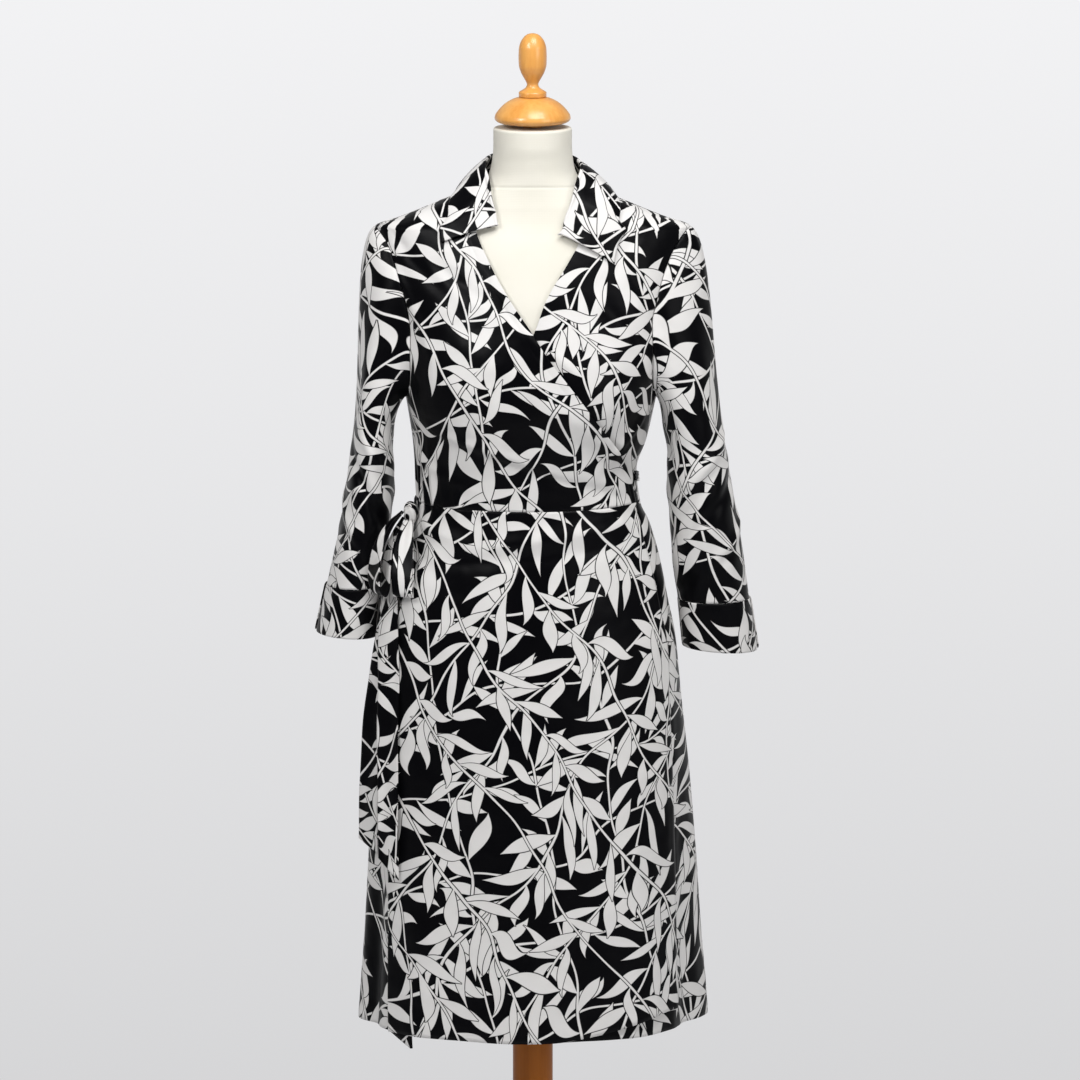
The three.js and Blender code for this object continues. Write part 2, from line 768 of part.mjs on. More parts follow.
/** Over front of the skirt, with its deep lap below the bow. */
function overSkirt() {
  const rows = SKIRT_Z.map(overSkirtRow);
  const build = (depth) => rows.map((row) => row.map((place) => {
    const turn = place.turn + (depth * Math.sin(place.heading)) / place.scale;
    return bodyPoint(turn, place.z, place.off - depth * Math.cos(place.heading));
  }));
  return shell(build(0), build(WALL));
}

/** Points of the armhole from the shoulder tip down the front to the armpit and up the back. */
function armholeLine(side) {
  const heights = BODICE_Z.filter((z) => z >= ARMPIT_Z && z <= SHOULDER_TIP_Z);
  const down = [...heights].reverse().map((z) => ({ turn: 90 - ARMHOLE_FRONT_TURN * armholeOpen(z), z }));
  const up = heights.slice(1, -1).map((z) => ({ turn: 90 + ARMHOLE_BACK_TURN * armholeOpen(z), z }));
  return [...down, ...up].map(({ turn, z }) => ({ turn: side * turn, z }));
}

/** Point round a sleeve's oval section: 0 is the outside, 90 the front, 180 the inside. */
function sleevePoint(sleeve, around, z, grow = 0) {
  const s = follow(sleeve.rows, 'z', z);
  const centre = (s.inner + s.outer) / 2;
  const half = (s.outer - s.inner) / 2 + grow;
  const x = sleeve.side * (centre + half * Math.cos(around * DEGREE));
  return new THREE.Vector3(x, s.middle - (s.half + grow) * Math.sin(around * DEGREE), z);
}

/** How far the sleeve's own creases lift its face at a place round it and at a height. */
function sleeveLift(around, z) {
  let lift = 0;
  for (const f of SLEEVE_FOLDS) {
    const u = turnBetween(around, f.aroundA) * SLEEVE_MM_PER_DEGREE;
    const uB = turnBetween(f.aroundB, f.aroundA) * SLEEVE_MM_PER_DEGREE;
    lift += foldLift(u, z, uB, f.zA, f.zB, f.lift, f.lift, f.half);
  }
  return lift;
}

/** Sleeve from the armhole over its cap and down to the cuff seam. */
function sleeveSolid(sleeve) {
  const armhole = armholeLine(sleeve.side);
  const top = sleeve.rows[0].z;
  const middle = (ARMPIT_Z + SHOULDER_TIP_Z) / 2;
  const grid = [];
  const stations = armhole.map((place, j) => {
    const around = (360 * j) / armhole.length;
    const level = (place.z - middle) / (SHOULDER_TIP_Z - middle);
    const pull = CAP_LEAVE.pull + CAP_LEAVE.pullAtTop * level;
    const forward = -CAP_LEAVE.forward * Math.sin(around * DEGREE);
    const down = CAP_LEAVE.down + CAP_LEAVE.downAtTop * Math.max(level, 0);
    const leave = new THREE.Vector3(sleeve.side * CAP_LEAVE.side, forward, -down);
    const seamOff = place.turn < 0 && place.turn > -90 ? overOff(place.turn) : 0;
    const from = bodyPoint(place.turn, place.z, seamOff).addScaledVector(leave, CAP_SEAM_OFF);
    const to = sleevePoint(sleeve, around, top, sleeveLift(around, top));
    const lower = sleevePoint(sleeve, around, top - SLEEVE_ARRIVE_DROP);
    const arrive = lower.sub(sleevePoint(sleeve, around, top)).normalize();
    return { around, from, to, leave: leave.multiplyScalar(pull), arrive };
  });
  for (let i = 0; i < SLEEVE_CAP_RINGS; i += 1) {
    const s = i / SLEEVE_CAP_RINGS;
    grid.push(stations.map((station) => {
      const drop = station.from.distanceTo(station.to);
      const p = station.from.clone().multiplyScalar(2 * s ** 3 - 3 * s ** 2 + 1);
      p.addScaledVector(station.leave, s ** 3 - 2 * s ** 2 + s);
      p.addScaledVector(station.to, 3 * s ** 2 - 2 * s ** 3);
      return p.addScaledVector(station.arrive, (s ** 3 - s ** 2) * drop);
    }));
  }
  for (let i = 0; i <= SLEEVE_ARM_RINGS; i += 1) {
    const z = top + ((sleeve.cuffTop - top) * i) / SLEEVE_ARM_RINGS;
    grid.push(stations.map(({ around }) => sleevePoint(sleeve, around, z, sleeveLift(around, z))));
  }
  return tubeSolid(grid);
}

/** Wall of a tube from its rings, with the wall inside them. */
function tubeSolid(grid) {
  const back = behind(grid, WALL, true);
  const centre = new THREE.Vector3();
  grid[grid.length - 1].forEach((p) => centre.add(p));
  centre.divideScalar(grid[0].length);
  const last = grid.length - 1;
  const outside = back[last][0].distanceTo(centre) > grid[last][0].distanceTo(centre);
  return shell(grid, outside ? behind(grid, -WALL, true) : back, true);
}

/** Cuff that laps over itself at the outside of the sleeve, with a rounded corner at the lap. */
function cuffSolid(sleeve) {
  const bottom = sleeve.rows[sleeve.rows.length - 1].z;
  const sweep = 360 + CUFF_LAP_DEGREES;
  const top = sleeve.cuffTop - CUFF_SEAM_DROP;
  const build = (depth) => Array.from({ length: CUFF_ROWS + 1 }, (_, i) => {
    return Array.from({ length: CUFF_COLUMNS + 1 }, (__, j) => {
      const turned = (sweep * j) / CUFF_COLUMNS;
      const around = turned - CUFF_LAP_DEGREES;
      const off = CUFF_LAP_OFF * ease((turned - CUFF_LAP_FROM) / CUFF_LAP_SWEEP);
      const corner = j === CUFF_COLUMNS ? CUFF_CORNER : 0;
      const low = bottom + corner + (sleeve.cuffTilt * Math.cos(around * DEGREE)) / 2;
      const z = top + ((low - top) * i) / CUFF_ROWS;
      const creased = sleeveLift(around, sleeve.cuffTop) * (1 - i / CUFF_ROWS);
      const grow = CUFF_OFF + off - depth + creased;
      return sleevePoint(sleeve, around, z, grow);
    });
  });
  return shell(build(0), build(WALL));
}

/** Line across the collar at one station: up the stand, over the roll and down the leaf. */
function collarLine(station) {
  const foot = bodyPoint(station.footTurn, station.footZ, -WALL);
  const roll = bodyPoint(station.rollTurn, station.rollZ, station.rollOff);
  const edge = bodyPoint(station.edgeTurn, station.edgeZ, station.edgeOff);
  const up = roll.clone().sub(foot).normalize();
  const out = bodyNormal(station.rollTurn, station.rollZ);
  out.addScaledVector(up, -out.dot(up)).normalize();
  const centre = roll.clone().addScaledVector(up, -COLLAR_ROLL_RADIUS);
  const onRoll = (angle) => centre.clone()
    .addScaledVector(up, COLLAR_ROLL_RADIUS * Math.sin(angle))
    .addScaledVector(out, -COLLAR_ROLL_RADIUS * Math.cos(angle));
  const line = [];
  const standTop = onRoll(0);
  for (let i = 0; i < STAND_STEPS; i += 1) {
    line.push(foot.clone().lerp(standTop, i / STAND_STEPS));
  }
  for (let i = 0; i < ROLL_STEPS; i += 1) {
    line.push(onRoll((Math.PI * i) / ROLL_STEPS));
  }
  const leafTop = onRoll(Math.PI);
  const length = leafTop.distanceTo(edge);
  const middle = leafTop.clone().lerp(edge, 0.5).addScaledVector(out, LEAF_BULGE * length);
  const leaf = new THREE.QuadraticBezierCurve3(leafTop, middle, edge);
  for (let i = 0; i <= LEAF_STEPS; i += 1) {
    line.push(leaf.getPoint(i / LEAF_STEPS));
  }
  return line;
}

/** Collar in one piece: stand, roll and leaf from one front end to the other. */
function collarSolid() {
  const stations = COLLAR.map((row, i) => ({ ...row, at: i }));
  const last = stations.length - 1;
  const grid = Array.from({ length: COLLAR_COLUMNS + 1 }, (_, i) => {
    return collarLine(follow(stations, 'at', (last * i) / COLLAR_COLUMNS));
  });
  return shell(grid, behind(grid, -WALL));
}

/** Flat band from rows with a middle, a direction across and a half width. */
function bandSolid(rows, thickness = TIE_WALL) {
  const grid = rows.map((row) => [-1, 0, 1].map((k) => {
    return row.middle.clone().addScaledVector(row.across, k * row.half);
  }));
  return shell(grid, behind(grid, thickness));
}

/** Tie of the over front round the back of the waist. */
function tieBand() {
  const first = TIE_PATH[0].turn;
  const last = TIE_PATH[TIE_PATH.length - 1].turn;
  const build = (depth) => Array.from({ length: TIE_BAND_STEPS + 1 }, (_, i) => {
    const row = follow(TIE_PATH, 'turn', first + ((last - first) * i) / TIE_BAND_STEPS);
    return [-1, 0, 1].map((k) => bodyPoint(row.turn, row.z + k * row.half, row.off - depth));
  });
  return shell(build(0), build(TIE_WALL));
}

/** Centre of the knot, off the left of the waist. */
function knotCentre() {
  return bodyPoint(KNOT.turn, KNOT.z, KNOT.off);
}

/** Knot of the bow, a rounded lump turned to lie against the waist. */
function knotMesh() {
  const geometry = new THREE.SphereGeometry(1, ...KNOT_SEGMENTS);
  geometry.scale(KNOT.thick, KNOT.along, KNOT.tall);
  const mesh = new THREE.Mesh(geometry, new THREE.MeshStandardMaterial(FABRIC));
  mesh.name = 'tie_knot';
  mesh.position.copy(knotCentre());
  const out = bodyNormal(KNOT.turn, KNOT.z);
  mesh.rotation.z = Math.atan2(out.y, out.x);
  return mesh;
}

/** Bow loop through its rows of places from the knot. */
function loopSolid(rows) {
  const knot = knotCentre();
  const stations = rows.map((row, i) => ({ ...row, at: i }));
  const curve = new THREE.CatmullRomCurve3(rows.map((row) => new THREE.Vector3(row.x, row.y, row.z)));
  return bandSolid(Array.from({ length: LOOP_STEPS + 1 }, (_, i) => {
    const row = follow(stations, 'at', ((rows.length - 1) * i) / LOOP_STEPS);
    const across = new THREE.Vector3(row.acrossX, row.acrossY, 0).normalize();
    return { middle: curve.getPoint(i / LOOP_STEPS).add(knot), across, half: row.half };
  }));
}

/** Tail of the tie, which hangs along the side of the skirt to a slanted cut. */
function tailSolid(tail) {
  const first = tail.rows[0].z;
  const last = tail.rows[tail.rows.length - 1].z;
  const grid = Array.from({ length: TAIL_STEPS + 1 }, (_, i) => {
    const row = follow(tail.rows, 'z', first + ((last - first) * i) / TAIL_STEPS);
    const slant = tail.cut * ease((i - TAIL_STEPS + TAIL_CUT_STEPS) / TAIL_CUT_STEPS);
    const middle = new THREE.Vector3(row.x, row.y, row.z);
    const across = new THREE.Vector3(Math.cos(row.across * DEGREE), Math.sin(row.across * DEGREE), 0);
    return [-1, 0, 1].map((k) => {
      const p = middle.clone().addScaledVector(across, k * row.half);
      p.z -= (k * slant) / 2;
      return p;
    });
  });
  return shell(grid, behind(grid, TIE_WALL));
}

/** Closed skin over a stack of rings, with a point in the middle of each end. */
function stackSolid(rings) {
  const columns = rings[0].length;
  const points = rings.flat();
  const index = [];
  for (let i = 0; i < rings.length - 1; i += 1) {
    for (let j = 0; j < columns; j += 1) {
      const [a, b] = [i * columns + j, i * columns + ((j + 1) % columns)];
      index.push(a, b, b + columns, a, b + columns, a + columns);
    }
  }
  for (const [ring, flip] of [[0, true], [rings.length - 1, false]]) {
    const centre = new THREE.Vector3();
    rings[ring].forEach((p) => centre.addScaledVector(p, 1 / columns));
    points.push(centre);
    for (let j = 0; j < columns; j += 1) {
      const [a, b] = [ring * columns + j, ring * columns + ((j + 1) % columns)];
      index.push(points.length - 1, flip ? b : a, flip ? a : b);
    }
  }
  return solid(points.flatMap((p) => [p.x, p.y, p.z]), index);
}

/** Point of the form's surface, inside the cloth. */
function formPoint(turn, z) {
  const inset = follow(FORM_INSET, 'z', z);
  const p = ovalPoint(turn, z).addScaledVector(bodyNormal(turn, z), -inset.inset);
  p.addScaledVector(bodyNormal(turn, z), bustLift(turn, z) * FORM_BUST_SHARE);
  p.x -= Math.sign(p.x) * inset.shoulder * Math.abs(Math.sin(turn * DEGREE)) ** FORM_SHOULDER_POWER;
  return p;
}

/** Body and neck of the form, covered in cream cloth. */
function formSolid() {
  const ring = (z, shrink) => Array.from({ length: FORM_COLUMNS }, (_, j) => {
    const p = formPoint((360 * j) / FORM_COLUMNS, z);
    return new THREE.Vector3(p.x * shrink, p.y * shrink, p.z);
  });
  const foot = ring(FORM_BOTTOM_Z, FORM_FOOT_SHARE);
  const top = ring(NECK_TOP_Z, NECK_TOP_SHARE);
  foot.forEach((p) => p.setZ(FORM_BOTTOM_Z));
  top.forEach((p) => p.setZ(NECK_TOP_Z));
  return stackSolid([foot, ...FORM_Z.map((z) => ring(z, 1)), ring(NECK_TOP_Z - NECK_TOP_ROUND, 1), top]);
}

/** Turned solid from its profile of radius and height, on the Z axis. */
function turnedSolid(profile, segments) {
  const geometry = new THREE.LatheGeometry(profile.map(([r, z]) => new THREE.Vector2(r, z)), segments);
  return geometry.rotateX(Math.PI / 2);
}

/** Profile of the domed cap on the short spindle that lifts it off the neck. */
function capProfile() {
  const dome = CAP_PROFILE.map(({ z, radius }) => [radius, CAP_RISE + z]);
  return [[0, 0], [CAP_SPINDLE_RADIUS, 0], [CAP_SPINDLE_RADIUS, CAP_RISE], ...dome, [0, CAP_HEIGHT]];
}

/** Profile of the finial. */
function finialProfile() {
  return [[0, 0], ...FINIAL_PROFILE.map(({ z, radius }) => [radius, z]), [0, FINIAL_HEIGHT]];
}

/** Profile of the base: a plain disc with a rounded upper edge. */
function baseProfile() {
  const steps = 4;
  const profile = [[0, 0], [BASE_RADIUS - BASE_FOOT_BEVEL, 0], [BASE_RADIUS, BASE_FOOT_BEVEL]];
  for (let i = 0; i <= steps; i += 1) {
    const angle = (i / steps) * (Math.PI / 2);
    profile.push([
      BASE_RADIUS - BASE_ROUND + BASE_ROUND * Math.cos(angle),
      BASE_HEIGHT - BASE_ROUND + BASE_ROUND * Math.sin(angle),
    ]);
  }
  return [...profile, [0, BASE_HEIGHT]];
}

/** Named mesh at a height. */
function piece(name, geometry, look, z = 0) {
  const mesh = new THREE.Mesh(geometry, new THREE.MeshStandardMaterial(look));
  mesh.name = name;
  mesh.position.z = z;
  return mesh;
}

const poleHeight = FORM_BOTTOM_Z - BASE_HEIGHT - 2 * SEAM_GAP;
const poleProfile = [[0, 0], [POLE_RADIUS, 0], [POLE_RADIUS, poleHeight], [0, poleHeight]];

const capZ = NECK_TOP_Z + SEAM_GAP;
const finialZ = capZ + CAP_HEIGHT + SEAM_GAP;

const form = new THREE.Group();
form.add(
  piece('base', turnedSolid(baseProfile(), TURNED_SEGMENTS.base), POLE_WOOD),
  piece('pole', turnedSolid(poleProfile, TURNED_SEGMENTS.pole), POLE_WOOD, BASE_HEIGHT + SEAM_GAP),
  piece('form_torso', formSolid(), COVER),
  piece('neck_cap', turnedSolid(capProfile(), TURNED_SEGMENTS.cap), HONEY_WOOD, capZ),
  piece('finial', turnedSolid(finialProfile(), TURNED_SEGMENTS.finial), HONEY_WOOD, finialZ),
);

const bow = new THREE.Group();
bow.add(knotMesh());
for (const [name, rows] of Object.entries(LOOPS)) {
  bow.add(piece(name, loopSolid(rows), FABRIC));
}
for (const [name, tail] of Object.entries(TAILS)) {
  bow.add(piece(name, tailSolid(tail), FABRIC));
}

const dress = new THREE.Group();
dress.add(
  piece('bodice_front_over', overBodice(), FABRIC),
  piece('bodice_front_under', underBodice(), FABRIC),
  piece('bodice_back', backBodice(), FABRIC),
  piece('skirt_front_over', overSkirt(), FABRIC),
  piece('skirt_front_under', underSkirt(), FABRIC),
  piece('skirt_back', backSkirt(), FABRIC),
  piece('collar', collarSolid(), FABRIC),
  piece('tie_band', tieBand(), FABRIC),
  bow,
);
for (const [name, sleeve] of Object.entries(SLEEVES)) {
  dress.add(piece(`sleeve_${name}`, sleeveSolid(sleeve), FABRIC));
  dress.add(piece(`cuff_${name}`, cuffSolid(sleeve), FABRIC));
}

const part = new THREE.Group();
part.add(form, dress);

export default part;
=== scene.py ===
"""Wrap dress with a shirt collar on a limbless dress form, dressed over its CAD frame.

The tables are in millimetres and degrees. Meshes are made in metres in the row frame: +Z up, the
front faces -Y, left and right are the viewer's, the origin is the centre of the base's underside.
A place on the body is a turn about the axis (0 front, 90 right, 180 back, -90 left), a height z
and a distance off the base surface that all the panels share.
"""

import logging
import math
from dataclasses import dataclass, field
from enum import Enum

import bpy
import numpy as np
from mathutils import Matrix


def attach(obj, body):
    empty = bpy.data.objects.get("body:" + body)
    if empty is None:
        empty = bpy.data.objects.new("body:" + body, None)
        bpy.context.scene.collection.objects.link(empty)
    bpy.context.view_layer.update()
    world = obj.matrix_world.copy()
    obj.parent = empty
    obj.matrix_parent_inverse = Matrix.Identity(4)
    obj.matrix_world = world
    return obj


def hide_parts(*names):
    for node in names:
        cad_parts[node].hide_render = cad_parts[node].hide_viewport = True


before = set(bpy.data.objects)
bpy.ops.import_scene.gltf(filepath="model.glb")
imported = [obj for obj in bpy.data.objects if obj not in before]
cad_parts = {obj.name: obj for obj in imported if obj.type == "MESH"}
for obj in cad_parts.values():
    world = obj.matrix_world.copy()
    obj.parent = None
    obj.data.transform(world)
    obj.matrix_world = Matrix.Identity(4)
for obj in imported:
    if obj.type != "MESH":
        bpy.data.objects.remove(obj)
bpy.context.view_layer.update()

logging.basicConfig(level=logging.INFO, format="%(message)s")
LOG = logging.getLogger("wrap_dress")

METRE = 0.001
# Wall of the cloth, the gap between pieces that are sewn together, and that gap as a turn.
WALL = 1.2
SEAM_GAP = 0.3
SEAM_TURN = 0.09
# How far the over front lies off the base surface.
WRAP_OFF = 2.6
HEM_Z = 395.0
WAIST_Z = 1050.0
ARMPIT_Z = 1179.0
SHOULDER_TIP_Z = 1388.0
NECK_Z = 1442.0
# Angle from which an edge of a turned piece looks sharp.
TURNED_EDGE = 50
# How far a fold fades out beyond its ends.
FOLD_FADE = 22.0
# Rounds in which a bodice panel is eased flat, and the share of each pull that a round takes.
EASE_ROUNDS = 500
EASE_SHARE = 0.9


class Side(Enum):
    """Which sleeve, as the sign of its X."""

    LEFT = -1
    RIGHT = 1


class Hold(Enum):
    DRAPED = "draped"
    HUNG = "hung"
    FOLDED = "folded"


class Layer(Enum):
    """Which layer of the wrap a panel is."""

    OVER = "over"
    UNDER = "under"
    BACK = "back"


def to_linear(colour: str) -> tuple[float, float, float, float]:
    """Linear colour of an sRGB hex value.

    Args:
        colour: Hex value such as "#f1eee2".

    Returns:
        Red, green, blue and an alpha of 1.
    """
    values = [int(colour[i:i + 2], 16) / 255 for i in (1, 3, 5)]
    linear = [v / 12.92 if v <= 0.04045 else ((v + 0.055) / 1.055) ** 2.4 for v in values]
    return (linear[0], linear[1], linear[2], 1.0)


def add_node(
    tree: bpy.types.NodeTree,
    kind: str,
    settings: dict[str, object] | None = None,
    links: dict[int | str, object] | None = None,
) -> bpy.types.Node:
    """Add a node with its settings and links.

    Args:
        tree: Node tree that gets the node.
        kind: Blender's name of the node's type.
        settings: Values of the node's own properties.
        links: For an input's name or number, a value or the output that feeds it.

    Returns:
        The new node.
    """
    node = tree.nodes.new(kind)
    for name, value in (settings or {}).items():
        setattr(node, name, value)
    for socket, source in (links or {}).items():
        if isinstance(source, bpy.types.NodeSocket):
            tree.links.new(source, node.inputs[socket])
        else:
            node.inputs[socket].default_value = source
    return node


class Finish:
    """A finish of one real material. Each kind has a name and gives the shader's own values."""

    name: str

    def surface(self, tree: bpy.types.NodeTree) -> dict[str, object]:
        """Add the finish's nodes.

        Args:
            tree: The material's tree.

        Returns:
            For each input of the shader, a value or the output that feeds it.
        """
        raise NotImplementedError

    def material(self) -> bpy.types.Material:
        """Blender's material of the finish."""
        material = bpy.data.materials.new(self.name)
        material.use_nodes = True
        tree = material.node_tree
        tree.nodes.clear()
        shader = add_node(tree, "ShaderNodeBsdfPrincipled", None, self.surface(tree))
        add_node(tree, "ShaderNodeOutputMaterial", None, {"Surface": shader.outputs[0]})
        return material


def wave_scale(size_mm: float) -> float:
    """Scale of a wave texture whose bands repeat at a real size."""
    return 1000 / size_mm / 20 * math.pi


@dataclass(frozen=True)
class Table:
    """Rows of named columns, read on smooth curves that never overshoot a row."""

    names: str
    rows: tuple[tuple[float, ...], ...]

    def at(self, where: np.ndarray) -> dict[str, np.ndarray]:
        """Every column at values of the first one.

        Args:
            where: Values of the first column.

        Returns:
            Arrays by column name, each in the shape of where.
        """
        data = np.array(self.rows, float)
        if data[0, 0] > data[-1, 0]:
            data = data[::-1]
        keys = data[:, 0]
        where = np.clip(np.asarray(where, float), keys[0], keys[-1])
        rise = np.diff(data, axis=0) / np.diff(keys)[:, None]
        both = rise[:-1] * rise[1:]
        total = np.where(both > 0, rise[:-1] + rise[1:], 1)
        slope = np.vstack([rise[:1], np.where(both > 0, 2 * both / total, 0), rise[-1:]])
        i = np.clip(np.searchsorted(keys, where, side="right") - 1, 0, len(keys) - 2)
        span = (keys[i + 1] - keys[i])[..., None]
        s = (where[..., None] - data[i, :1]) / span
        bend = (
            slope[i] * span * (1 - s) + (data[i] - data[i + 1]) * (1 - 2 * s)
            - slope[i + 1] * span * s
        )
        value = data[i] + (data[i + 1] - data[i]) * s + s * (1 - s) * bend
        return {name: value[..., k] for k, name in enumerate(self.names.split())}

    def each(self) -> list[dict[str, float]]:
        """The rows as dictionaries by column name."""
        return [dict(zip(self.names.split(), row)) for row in self.rows]

    def evenly(self, count: int) -> dict[str, np.ndarray]:
        """Every column at even steps from the first row to the last.

        Args:
            count: Number of places.

        Returns:
            Arrays by column name.
        """
        rows = tuple((float(i), *row) for i, row in enumerate(self.rows))
        return Table("row " + self.names, rows).at(np.linspace(0, len(rows) - 1, count))


def ease(value: np.ndarray) -> np.ndarray:
    """Smooth step from 0 to 1."""
    s = np.clip(value, 0, 1)
    return s * s * (3 - 2 * s)


def bell(value: np.ndarray) -> np.ndarray:
    """Bell curve of width 1."""
    return np.exp(-np.square(value))


def turn_between(a: np.ndarray, b: np.ndarray) -> np.ndarray:
    """Difference of two turns, from -180 to 180."""
    return np.mod(a - b + 180, 360) - 180


def unit(vectors: np.ndarray) -> np.ndarray:
    """Vectors of length 1."""
    size = np.linalg.norm(vectors, axis=-1, keepdims=True)
    return vectors / np.where(size > 0, size, 1)


def run_along(points: np.ndarray, axis: int) -> np.ndarray:
    """Length along each line of a grid of points, from the line's first point."""
    steps = np.linalg.norm(np.diff(points, axis=axis), axis=-1)
    return np.concatenate([np.zeros_like(np.take(steps, [0], axis)), np.cumsum(steps, axis)], axis)


def fold_lift(u: np.ndarray, z: np.ndarray, fold: dict[str, float], u_end: float) -> np.ndarray:
    """Height of one soft fold at places beside its line.

    Args:
        u: Distance along the section from the fold's first end.
        z: Height.
        fold: The fold's row, with zA, liftA, zB, liftB and half.
        u_end: Distance along the section of the fold's second end.

    Returns:
        How far the cloth lifts.
    """
    down = fold["zB"] - fold["zA"]
    length = math.hypot(u_end, down)
    along = (u * u_end + (z - fold["zA"]) * down) / length
    aside = (u * down - (z - fold["zA"]) * u_end) / length
    beyond = np.maximum(np.maximum(-along, along - length), 0)
    share = np.clip(along / length, 0, 1)
    lift = fold["liftA"] + (fold["liftB"] - fold["liftA"]) * share
    return lift * bell(aside / fold["half"]) * bell(beyond / FOLD_FADE)


def eased(points: np.ndarray, places: np.ndarray) -> np.ndarray:
    """Ease flat places until lengths between neighbours are those on the form.

    Args:
        points: Grid of points on the form.
        places: Their first flat places, sheared where the form slopes.

    Returns:
        Eased places.
    """
    every, here, there = slice(None), slice(None, -1), slice(1, None)
    links = (
        ((every, here), (every, there)), ((here, every), (there, every)),
        ((here, here), (there, there)), ((here, there), (there, here)),
    )
    lengths = [np.linalg.norm(points[b] - points[a], axis=-1) for a, b in links]
    flat = places.copy()
    count = np.zeros(flat.shape[:2] + (1,))
    for a, b in links:
        count[a] += 1
        count[b] += 1
    for _ in range(EASE_ROUNDS):
        push = np.zeros(flat.shape)
        for (a, b), length in zip(links, lengths):
            gap = flat[b] - flat[a]
            size = np.maximum(np.linalg.norm(gap, axis=-1), 1e-6)
            move = gap * (1 - length / size)[..., None]
            push[a] += move
            push[b] -= move
        flat += push / count * EASE_SHARE
    return flat


@dataclass(frozen=True)
class Lattice:
    """Even lattice on the base surface, on which a panel is laid flat."""

    reach: float
    step: float
    bottom: float
    pitch: float
    eased: bool


# Skirt panels are nearly cones and lie flat as they are. Bodice panels curve both ways and are eased.
SKIRT_LATTICE = Lattice(190, 1, 370, 3, False)
BODICE_LATTICE = Lattice(105, 3, WAIST_Z - 12, 6, True)


@dataclass(frozen=True)
class StitchedEdge:
    """Relief of a turned and stitched edge, by the distance in from the edge."""

    swell: float = 0.35
    swell_at: float = 3
    swell_half: float = 3.5
    stitch: float = 0.45
    stitch_at: float = 8
    stitch_half: float = 1.1

    def relief(self, inside: np.ndarray) -> np.ndarray:
        """Height of the ridge less the depth of the stitch line."""
        ridge = self.swell * bell((inside - self.swell_at) / self.swell_half)
        return ridge - self.stitch * bell((inside - self.stitch_at) / self.stitch_half)


